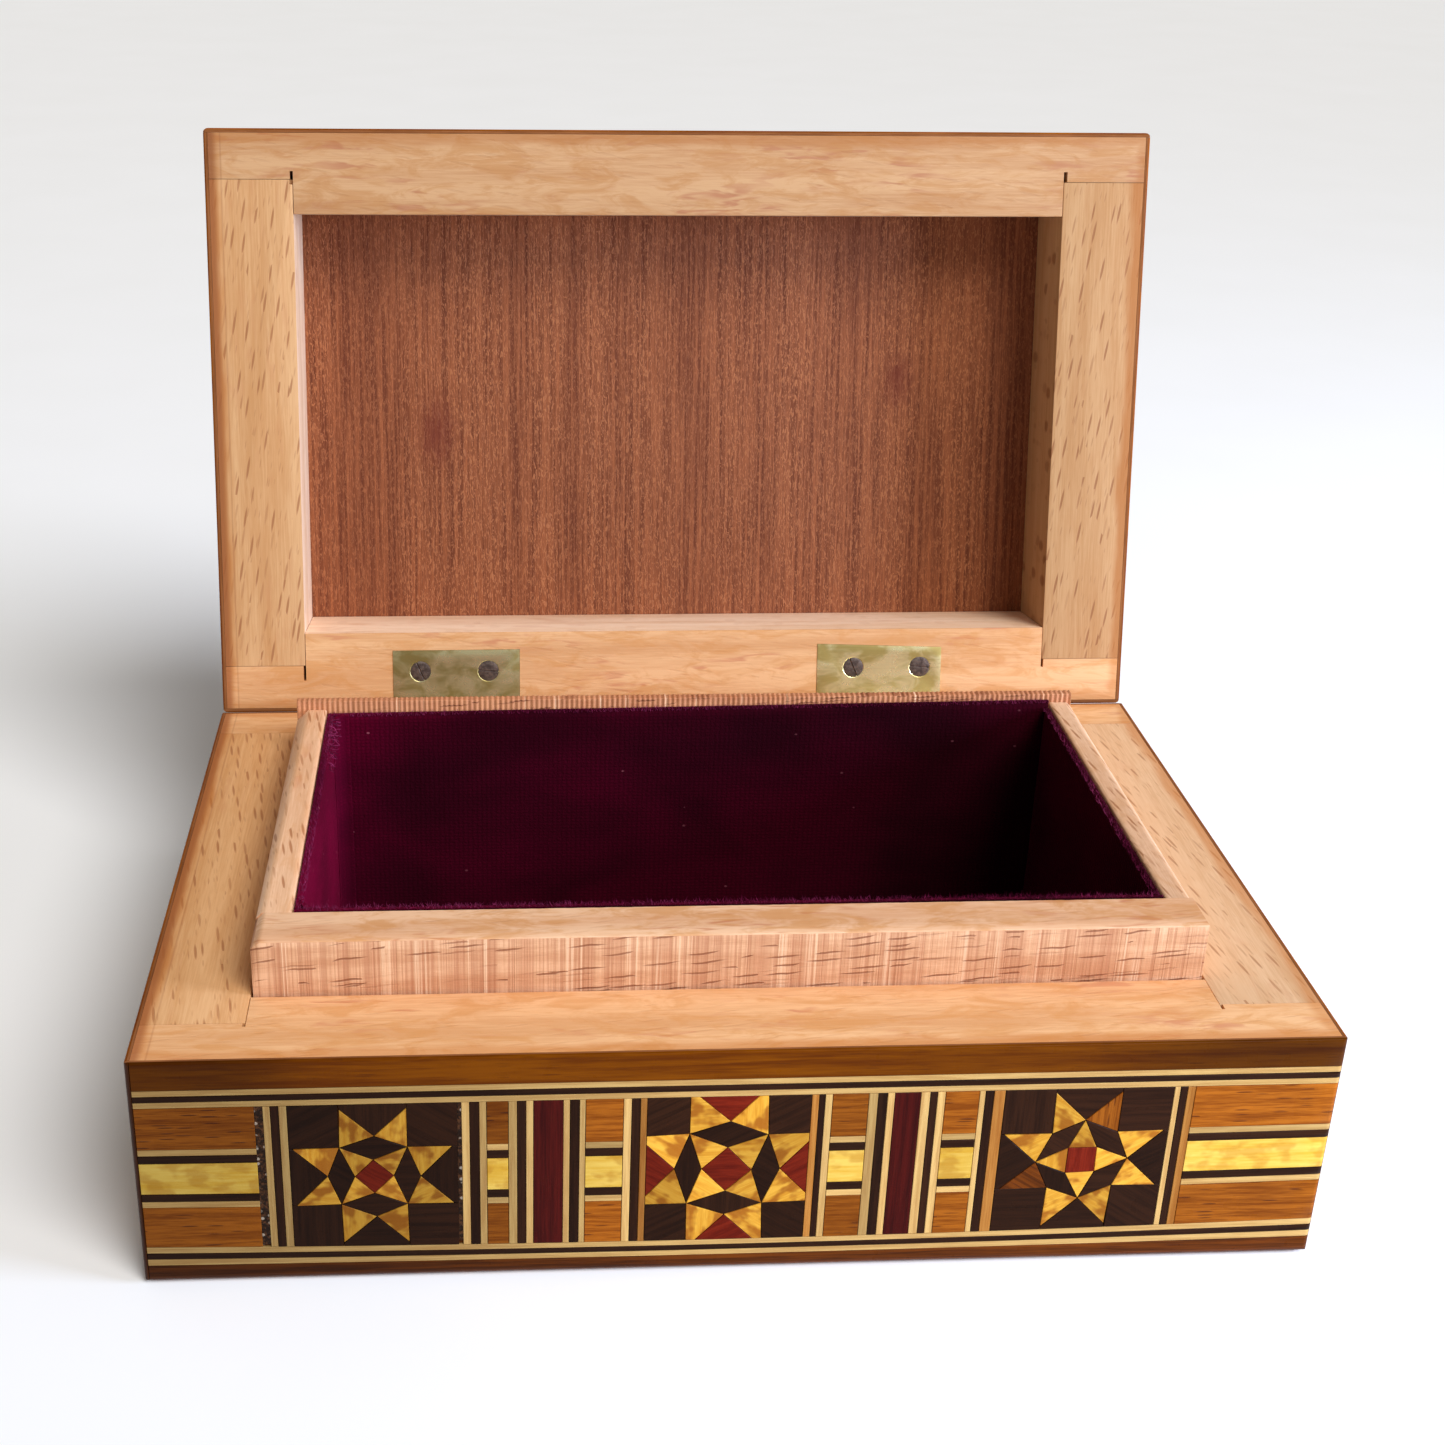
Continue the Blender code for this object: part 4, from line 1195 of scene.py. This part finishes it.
# ---------------------------------------------------------------- marquetry
class Mosaic(Woodwork):
    """Tiles on a bed of glue. Tiles are drawn in mm from the panel's lower left corner, seen from outside."""

    def __init__(self, box, side, warp=None, shade_at_left=0.0):
        """The last argument is how much darker the panel's left end is drawn, in tone: painted shade, where
        the light from the right falls off.
        """
        super().__init__()
        self.matrix, (self.width, self.height, self.depth) = side_place(box, side)
        self.warp = warp or (lambda u, v: (u, v))
        self.shade_at_left = shade_at_left

    def tile(self, wood, outline, angle=0.0, tone=None, long=False):
        """A tile a seam narrower than its outline, its edge rounded and its face level or a hair lower.

        A long tile's outline runs out and back in equal steps, and its face is divided at each step."""
        if tone is None:
            tone = RANDOM.uniform(0.3, 0.7)
        outline = [(self.warp(u, v)[0] * MM, self.warp(u, v)[1] * MM) for u, v in outline]
        outline = offset_outline(outline, TILE_SEAM / 2)
        high = self.depth - RANDOM.uniform(0.0, TILE_SUNK)
        low = self.depth - TILE
        inner = offset_outline(outline, TILE_EDGE)
        count = len(outline)
        points = [(x, y, low) for x, y in outline] + [(x, y, high - TILE_EDGE) for x, y in outline]
        points += [(x, y, high) for x, y in inner]
        face = [tuple(range(count))]
        if long:
            face = [(i, i + 1, count - 2 - i, count - 1 - i) for i in range(count // 2 - 1)]
        faces = [corners[::-1] for corners in face]
        faces += [tuple(2 * count + corner for corner in corners) for corners in face]
        for ring in (0, count):
            for i in range(count):
                j = (i + 1) % count
                faces.append((ring + i, ring + j, ring + count + j, ring + count + i))
        shares = [p[0] / self.width for p in points]
        if callable(tone):
            tones = [tone(share) for share in shares]
        else:
            # painted shade: tones darker towards the left end and a little lighter towards the right
            light_falloff = [0.25 * min(1.0, share) - max(0.0, 1 - share / 0.45) for share in shares]
            tones = [tone + self.shade_at_left * part for part in light_falloff]
        self.add(points, faces, wood, Matrix.Rotation(-angle, 3, "Z"), tones)

    def strip(self, wood, u0, v0, u1, v1, upright=False, tone=None):
        """A straight strip, with points along it so that it can follow a bow."""
        steps = max(1, round((u1 - u0) / 4))
        lower = [(u0 + (u1 - u0) * i / steps, v0) for i in range(steps + 1)]
        upper = [(u, v1) for u, _ in reversed(lower)]
        self.tile(wood, lower + upper, math.pi / 2 if upright else 0.0, tone, long=True)

    def bed(self, u0, v0, u1, v1):
        """Glue under the tiles."""
        low = Vector((u0 * MM, v0 * MM, 0))
        high = Vector((u1 * MM, v1 * MM, self.depth - TILE))
        self.add_mesh(box_mesh(low, high), "border")

    def worn(self, piece, edges):
        """The piece's outer edges rounded. edges maps left, right, low and high to a radius in mm."""
        lid_turn = LID_OPEN if piece.name.startswith("lid") else Matrix.Identity(4)
        place = lid_turn @ self.matrix
        back = place.inverted()
        starts = {
            "left": ((0, 0, 0), (1, 0, 0)),
            "right": ((self.width, 0, 0), (-1, 0, 0)),
            "low": ((0, 0, 0), (0, 1, 0)),
            "high": ((0, self.height, 0), (0, -1, 0)),
        }
        bm = bmesh.new()
        bm.from_mesh(piece.data)
        for edge, radius in edges.items():
            start, inward = (Vector(v) for v in starts[edge])
            for share in (0.1, 0.3, 0.6, 1.0):
                point = place @ (start + inward * radius * share * MM)
                geometry = bm.verts[:] + bm.edges[:] + bm.faces[:]
                bmesh.ops.bisect_plane(bm, geom=geometry, plane_co=point, plane_no=place.to_3x3() @ inward)
        for vert in bm.verts:
            local = back @ vert.co
            for axis, end in ((0, self.width), (1, self.height)):
                if local[axis] < TILE_SEAM:
                    local[axis] = 0.0
                if local[axis] > end - TILE_SEAM:
                    local[axis] = end
            if "left" in edges:
                self.round_corners(local, edges)
            for edge, size in edges.items():
                start, inward = (Vector(v) for v in starts[edge])
                radius = size * MM
                short = radius - (local - start).dot(inward)
                if short > 0:
                    deepest = math.sqrt(max(0.0, radius**2 - max(0.0, radius - self.depth) ** 2))
                    if short > deepest:
                        local += inward * (short - deepest)
                        short = deepest
                    drop = radius - math.sqrt(radius**2 - short**2)
                    local.z = max(0.0, min(local.z, self.depth - drop))
            vert.co = place @ local
        bm.to_mesh(piece.data)
        bm.free()
        piece.data.shade_smooth()
        piece.data.set_sharp_from_angle(angle=SHARP)

    def round_corners(self, local, edges):
        """Moves a point near a corner onto a quarter circle as large as the edge's rounding."""
        on_left = local.x < self.width / 2
        is_low = local.y < self.height / 2
        radius = edges.get("low" if is_low else "high", 0.0) * MM
        across = radius - (local.x if on_left else self.width - local.x)
        along = radius - (local.y if is_low else self.height - local.y)
        if across > 0 and along > 0 and math.hypot(across, along) > radius:
            shrink = radius / math.hypot(across, along)
            x, y = radius - across * shrink, radius - along * shrink
            local.x = x if on_left else self.width - x
            local.y = y if is_low else self.height - y


def add_layers(panel, u0, v0, u1, v1):
    """Mahogany above and below a sandwich of light, black, yellow, black and light."""
    sandwich = sum(thickness for _, thickness in LAYERS)
    level = (v0 + v1 - sandwich) / 2
    panel.strip("mahogany", u0, v0, u1, level)
    for wood, thickness in LAYERS:
        panel.strip(wood, u0, level, u1, level + thickness)
        level += thickness
    panel.strip("mahogany", u0, level, u1, v1)


# A star as shares of its block: half the middle cell, half the rhombus's thickness, the wood beside its tips
# and the middle's twist
STARS = {
    "star": (0.200, 0.082, "black", 0.0),
    "red_star": (0.238, 0.087, "red", -0.030),
    "eight_star": (0.195, 0.082, "black", 0.012),
}
EIGHT_MIDDLE = 0.088  # half the eight-pointed star's middle square
STAR_MARGIN = 0.026  # how far the tips stop from the block's edge
STAR_DRIFT = 0.006  # how far inner corners are out of place
STAR_TRIM = 0.76  # how much of the red star's tips is left, since its block was trimmed
ODD_TILES = {0: ("mahogany", 0.42), 5: ("border", 0.5)}  # of the eight-pointed star's yellow tiles


def quarter_turns(outline):
    turned = [list(outline)]
    for _ in range(3):
        turned.append([(-y, x) for x, y in turned[-1]])
    return turned


def star_shapes(kind):
    """The tiles of a star block that runs from -0.5 to 0.5 about its middle."""
    c, thick, tips, _ = STARS[kind]
    tip = c + thick
    shapes = [("black", ((c, c), (0.5, c), (0.5, 0.5), (c, 0.5)))]
    if kind == "red_star":
        k = c * STAR_TRIM
        shapes.append((tips, ((0, tip), (k, 0.5), (-k, 0.5))))
        shapes.append(("yellow", ((c, c), (c, 0.5), (k, 0.5), (0, tip))))
        shapes.append(("yellow", ((-c, c), (0, tip), (-k, 0.5), (-c, 0.5))))
    else:
        end = 0.5 - STAR_MARGIN
        shapes.append((tips, ((0, tip), (c, end), (c, 0.5), (-c, 0.5), (-c, end))))
        shapes.append(("yellow", ((c, c), (c, end), (0, tip))))
        shapes.append(("yellow", ((-c, c), (0, tip), (-c, end))))
    if kind == "eight_star":
        r = EIGHT_MIDDLE
        shapes.append(("black", ((r, r), (tip, 0), (c, c), (0, tip))))
        shapes.append(("yellow", ((-r, r), (r, r), (0, tip))))
        middle = ((-r, -r), (r, -r), (r, r), (-r, r))
    else:
        near = c - thick
        shapes.append(("black", ((0, near), (c, c), (0, tip), (-c, c))))
        shapes.append(("yellow", ((near, 0), (c, c), (0, near))))
        middle = ((near, 0), (0, near), (-near, 0), (0, -near))
    turned = [(wood, shape) for wood, outline in shapes for shape in quarter_turns(outline)]
    return turned + [("red", list(middle))]


def add_star(panel, kind, u0, v0, u1, v1, odd=False):
    """A star block. Its middle is twisted and each inner corner is a little off, as laid by hand."""
    twist = STARS[kind][3]
    drift = {}

    def laid(x, y):
        inside = 1 - 2 * max(abs(x), abs(y))
        if inside > 0.001:
            key = (round(x, 4), round(y, 4))
            if key not in drift:
                drift[key] = [RANDOM.uniform(-STAR_DRIFT, STAR_DRIFT) for _ in range(2)]
            angle = twist * min(1.0, inside * 3)
            x, y = x * math.cos(angle) - y * math.sin(angle), x * math.sin(angle) + y * math.cos(angle)
            x += drift[key][0]
            y += drift[key][1]
        return ((u0 + u1) / 2 + x * (u1 - u0), (v0 + v1) / 2 + y * (v1 - v0))

    number = 0
    for wood, shape in star_shapes(kind):
        tone = RANDOM.uniform(0.2, 0.7)
        if wood == "yellow":
            if odd:
                wood, tone = ODD_TILES.get(number, (wood, tone))
            number += 1
        angle = RANDOM.choice((0.0, math.pi / 2, 0.5, -0.6))
        panel.tile(wood, [laid(x, y) for x, y in shape], angle, tone)


def add_row(panel, row, u0, v0, v1):
    """Strips and blocks side by side, from left to right."""
    for kind, width in row:
        u1 = u0 + width
        if kind in STARS:
            add_star(panel, kind, u0, v0, u1, v1, odd=kind == "eight_star")
        elif kind == "layers":
            add_layers(panel, u0, v0, u1, v1)
        elif kind == "glue":
            add_filler(panel, u0, v0, u1, v1)
        else:
            panel.strip(kind, u0, v0, u1, v1, upright=True)
        u0 = u1


def add_filler(panel, u0, v0, u1, v1):
    """A gap between blocks, filled with glue and lacquer that stand a little lower."""
    level = panel.depth - GLUE_SUNK
    panel.add_mesh(box_mesh((u0 * MM, v0 * MM, panel.depth - TILE), (u1 * MM, v1 * MM, level)), "glue")


def add_strings(panel, u0, v0, u1, v1):
    """A laminated strip along the panel: light, black and light."""
    step = (v1 - v0) / 3
    for number, wood in enumerate(("light", "black", "light")):
        panel.strip(wood, u0, v0 + step * number, u1, v0 + step * (number + 1), tone=0.5)


def levels_of(bands, height):
    """The heights where each band starts and ends; the last band takes what is left."""
    levels = [0.0]
    for band in bands[:-1]:
        levels.append(levels[-1] + band)
    return levels + [height]


def field_of(half, width, middle):
    """A row mirrored about a middle block that takes what is left of the width."""
    rest = width - 2 * sum(size for _, size in half)
    return (*half, (middle, rest), *half[::-1])


def add_side(panel, bands, row, on_lid=False, ends=(0.0, 0.0)):
    """A whole side. ends are the widths of the dark edges of the sides next to it, where they show."""
    borders = BORDERS[::-1] if on_lid else BORDERS
    width, height = panel.width / MM, panel.height / MM
    levels = levels_of(bands, height)
    start, end = ends[0], width - ends[1]
    row = list(row)
    row[0] = (row[0][0], row[0][1] - ends[0])
    row[-1] = (row[-1][0], row[-1][1] - ends[1])
    panel.strip(borders[0], start, 0, end, levels[1], tone=0.5)
    add_strings(panel, start, levels[1], end, levels[2])
    add_row(panel, row, start, levels[2], levels[3])
    add_strings(panel, start, levels[3], end, levels[4])
    panel.strip(borders[1], start, levels[4], end, height, tone=dark_at_ends if panel.shade_at_left else 0.5)
    for u0, u1 in ((0, start), (end, width)):
        if u1 > u0:
            panel.strip("border", u0, 0, u1, height, upright=True, tone=0.6)
    panel.bed(0, 0, width, height)
    rim = 0.0 if on_lid else panel.height
    panel.swap("edge", lambda p: abs(p[1] - rim) < TILE_SEAM)


def dark_at_ends(share):
    """Tone of the front's upper border: lightest in the middle, dark at its ends."""
    left = min(1.0, max(0.0, (0.15 - share) / 0.07))
    right = min(1.0, max(0.0, (share - 0.77) / 0.12))
    return 0.36 - 0.2 * abs(share - 0.5) - 0.20 * left - 0.12 * right


def make_sides():
    front_nodes = [n for n in frame["nodes"] if n.startswith("base_front_") and n != "base_front_wall"]
    box = box_of(*front_nodes)
    # painted shade: the front is drawn darker towards its left end
    panel = Mosaic(box, "front", warp=bowed, shade_at_left=0.5)
    add_side(panel, BASE_BANDS, FRONT_FIELD, ends=FRONT_ENDS)
    piece = panel.piece("base_front_marquetry", front_nodes, "star_block", panel.matrix)
    panel.worn(piece, {**END_WEAR, **BASE_WEAR})
    rows = {
        "base_back_marquetry": ("back", BASE_BANDS, FRONT_FIELD[::-1], None),
        "base_left_marquetry": ("left", BASE_BANDS, SIDE_HALF, "star"),
        "base_right_marquetry": ("right", BASE_BANDS, SIDE_HALF, "star"),
        "lid_front_marquetry": ("front", LID_BANDS, LID_LONG_HALF, "mahogany"),
        "lid_back_marquetry": ("back", LID_BANDS, LID_LONG_HALF, "mahogany"),
        "lid_left_marquetry": ("left", LID_BANDS, LID_SHORT_HALF, "mahogany"),
        "lid_right_marquetry": ("right", LID_BANDS, LID_SHORT_HALF, "mahogany"),
    }
    for name, (side, bands, row, middle) in rows.items():
        on_lid = name.startswith("lid")
        low, high = box_of(name, shut=on_lid)
        reach = CAD_GAP - SEAM
        if side in ("left", "right"):
            low.y -= reach
            high.y += reach
        if on_lid:
            high.z += reach
        panel = Mosaic((low, high), side)
        if middle:
            row = field_of(row, panel.width / MM, middle)
        add_side(panel, bands, row, on_lid)
        piece = panel.piece(f"{name}_tiles", [name], "border_veneer", panel.matrix)
        ends = END_WEAR if side in ("front", "back") else {}
        panel.worn(piece, {**(LID_WEAR if on_lid else BASE_WEAR), **ends})


def bowed(u, v):
    """The front's lower strings sag in the middle, and the field with them."""
    low, top = sum(BASE_BANDS[:2]), sum(BASE_BANDS[:3])
    share = v / low if v < low else max(0.0, (top - v) / (top - low))
    half = CAD_BOX[1][0] / MM
    return u, v - BOW * share * (1 - (u / half - 1) ** 2)


# ---------------------------------------------------------------- lid's top
def add_mitred_frame(panel, wood, outer, inner, tone=0.5):
    """Four strips mitred at the corners. outer and inner are their insets from the panel's edge."""
    width, height = panel.width / MM, panel.height / MM
    a, b = outer, inner
    corners = ((a, a), (width - a, a), (width - a, height - a), (a, height - a))
    inners = ((b, b), (width - b, b), (width - b, height - b), (b, height - b))
    for i in range(4):
        j = (i + 1) % 4
        outline = [corners[i], corners[j], inners[j], inners[i]]
        panel.tile(wood, outline, math.pi / 2 if i % 2 else 0.0, tone)


def add_string_frame(panel, outer, inner):
    step = (inner - outer) / 3
    for number, wood in enumerate(("light", "black", "light")):
        add_mitred_frame(panel, wood, outer + step * number, outer + step * (number + 1))


def make_top():
    nodes = ["lid_top_border", "lid_top_frieze", "lid_top_star_panel"]
    panel = Mosaic(box_of(*nodes, shut=True), "top")
    width, height = panel.width / MM, panel.height / MM
    border, string, frieze = 6.0, 3.3, 9.0
    add_mitred_frame(panel, "golden", 0, border, 0.5)
    add_string_frame(panel, border, border + string)
    first, last = border + string, border + string + frieze
    add_mitred_frame(panel, "mahogany", first, last)
    add_string_frame(panel, last, last + string)
    field = last + string
    side = height - 2 * field
    middle = width / 2
    add_star(panel, "red_star", middle - side / 2, field, middle + side / 2, field + side)
    column = [("tan", 1.2), ("black", 1.2), ("light", 1.2)]
    column += [*BAR, ("light", 1.2), ("black", 1.2), ("light", 1.2)]
    run = sum(size for _, size in column)
    rest = (width - 2 * field - side) / 2 - run
    for mirrored in (False, True):
        start = middle + side / 2 if not mirrored else field + rest
        add_row(panel, column if not mirrored else column[::-1], start, field, field + side)
        left = field if mirrored else middle + side / 2 + run
        third = side / 3
        for number, kind in enumerate(("star", "eight_star", "star")):
            bottom = field + third * number
            add_star(panel, kind, left, bottom, left + rest, bottom + third)
    panel.bed(0, 0, width, height)
    piece = panel.piece("lid_top_marquetry", nodes, "star_block", panel.matrix)
    panel.worn(piece, {"left": 1.0, "right": 1.0, "low": 1.0, "high": 1.0})


# ---------------------------------------------------------------- stage
def make_floor():
    bm = bmesh.new()
    bmesh.ops.create_grid(bm, x_segments=2, y_segments=2, size=FLOOR_SIZE)
    floor = bpy.data.objects.new("floor", from_bmesh(bm))
    floor.location.z = CAD_BOX[0][2] - 0.02 * MM
    floor.data.materials.append(floor_material())
    bpy.context.scene.collection.objects.link(floor)


def make_lights():
    """An even room, white to the camera, a broad soft light in front, above and to the right, and a low, cool
    one to the right."""
    world = bpy.data.worlds.new("studio")
    world.use_nodes = True
    tree = world.node_tree
    path = tree.nodes.new("ShaderNodeLightPath")
    strength = tree.nodes.new("ShaderNodeMix")
    strength.inputs[2].default_value = ROOM_LIGHT
    strength.inputs[3].default_value = 1.0
    colour = tree.nodes.new("ShaderNodeMix")
    colour.data_type = "RGBA"
    colour.inputs[6].default_value = ROOM_COLOUR
    colour.inputs[7].default_value = (1.0, 1.0, 1.0, 1.0)
    back = tree.nodes["Background"]
    for mix in (strength, colour):
        tree.links.new(path.outputs["Is Camera Ray"], mix.inputs[0])
    tree.links.new(colour.outputs[2], back.inputs["Color"])
    tree.links.new(strength.outputs[0], back.inputs["Strength"])
    bpy.context.scene.world = world
    sun = bpy.data.lights.new("key", "SUN")
    sun.energy = KEY_LIGHT
    sun.angle = math.radians(KEY_SOFTNESS)
    key = bpy.data.objects.new("key", sun)
    key.rotation_euler = Vector(KEY_FROM).to_track_quat("Z", "Y").to_euler()
    bpy.context.scene.collection.objects.link(key)
    panel = bpy.data.lights.new("side", "AREA")
    panel.size = SIDE_SIZE
    panel.energy = SIDE_LIGHT
    panel.color = SIDE_COLOUR
    side = bpy.data.objects.new("side", panel)
    side.location = SIDE_PLACE
    side.rotation_euler = Vector(SIDE_PLACE).to_track_quat("Z", "Y").to_euler()
    bpy.context.scene.collection.objects.link(side)


def make_camera():
    data = bpy.data.cameras.new("camera")
    data.lens = CAMERA_LENS
    data.shift_x, data.shift_y = CAMERA_SHIFT
    data.clip_start = 0.01
    camera = bpy.data.objects.new("camera", data)
    turn = Matrix.Rotation(-math.radians(CAMERA_AZIMUTH), 4, "Z")
    turn = turn @ Matrix.Rotation(math.radians(90 - CAMERA_ELEVATION), 4, "X")
    turn = turn @ Matrix.Rotation(math.radians(CAMERA_ROLL), 4, "Z")
    camera.matrix_world = Matrix.Translation(CAMERA_PLACE) @ turn
    bpy.context.scene.collection.objects.link(camera)
    bpy.context.scene.camera = camera


make_frame(False, ("base_front_wall", "base_back_wall", "base_left_wall", "base_right_wall"))
make_frame(True, ("lid_front_rail", "lid_back_rail", "lid_left_stile", "lid_right_stile"))
make_boards()
make_front_liner()
make_back_liner()
make_side_liner("liner_left_strip", -1, (0.9, 2.1), 0.05, 0.62)
make_side_liner("liner_right_strip", 1, (0.8, 0.9), 0.16, 0.44)
make_velvet()
make_hinges()
make_sides()
make_top()
make_floor()
make_lights()
make_camera()
bpy.context.scene.view_settings.view_transform = "Standard"
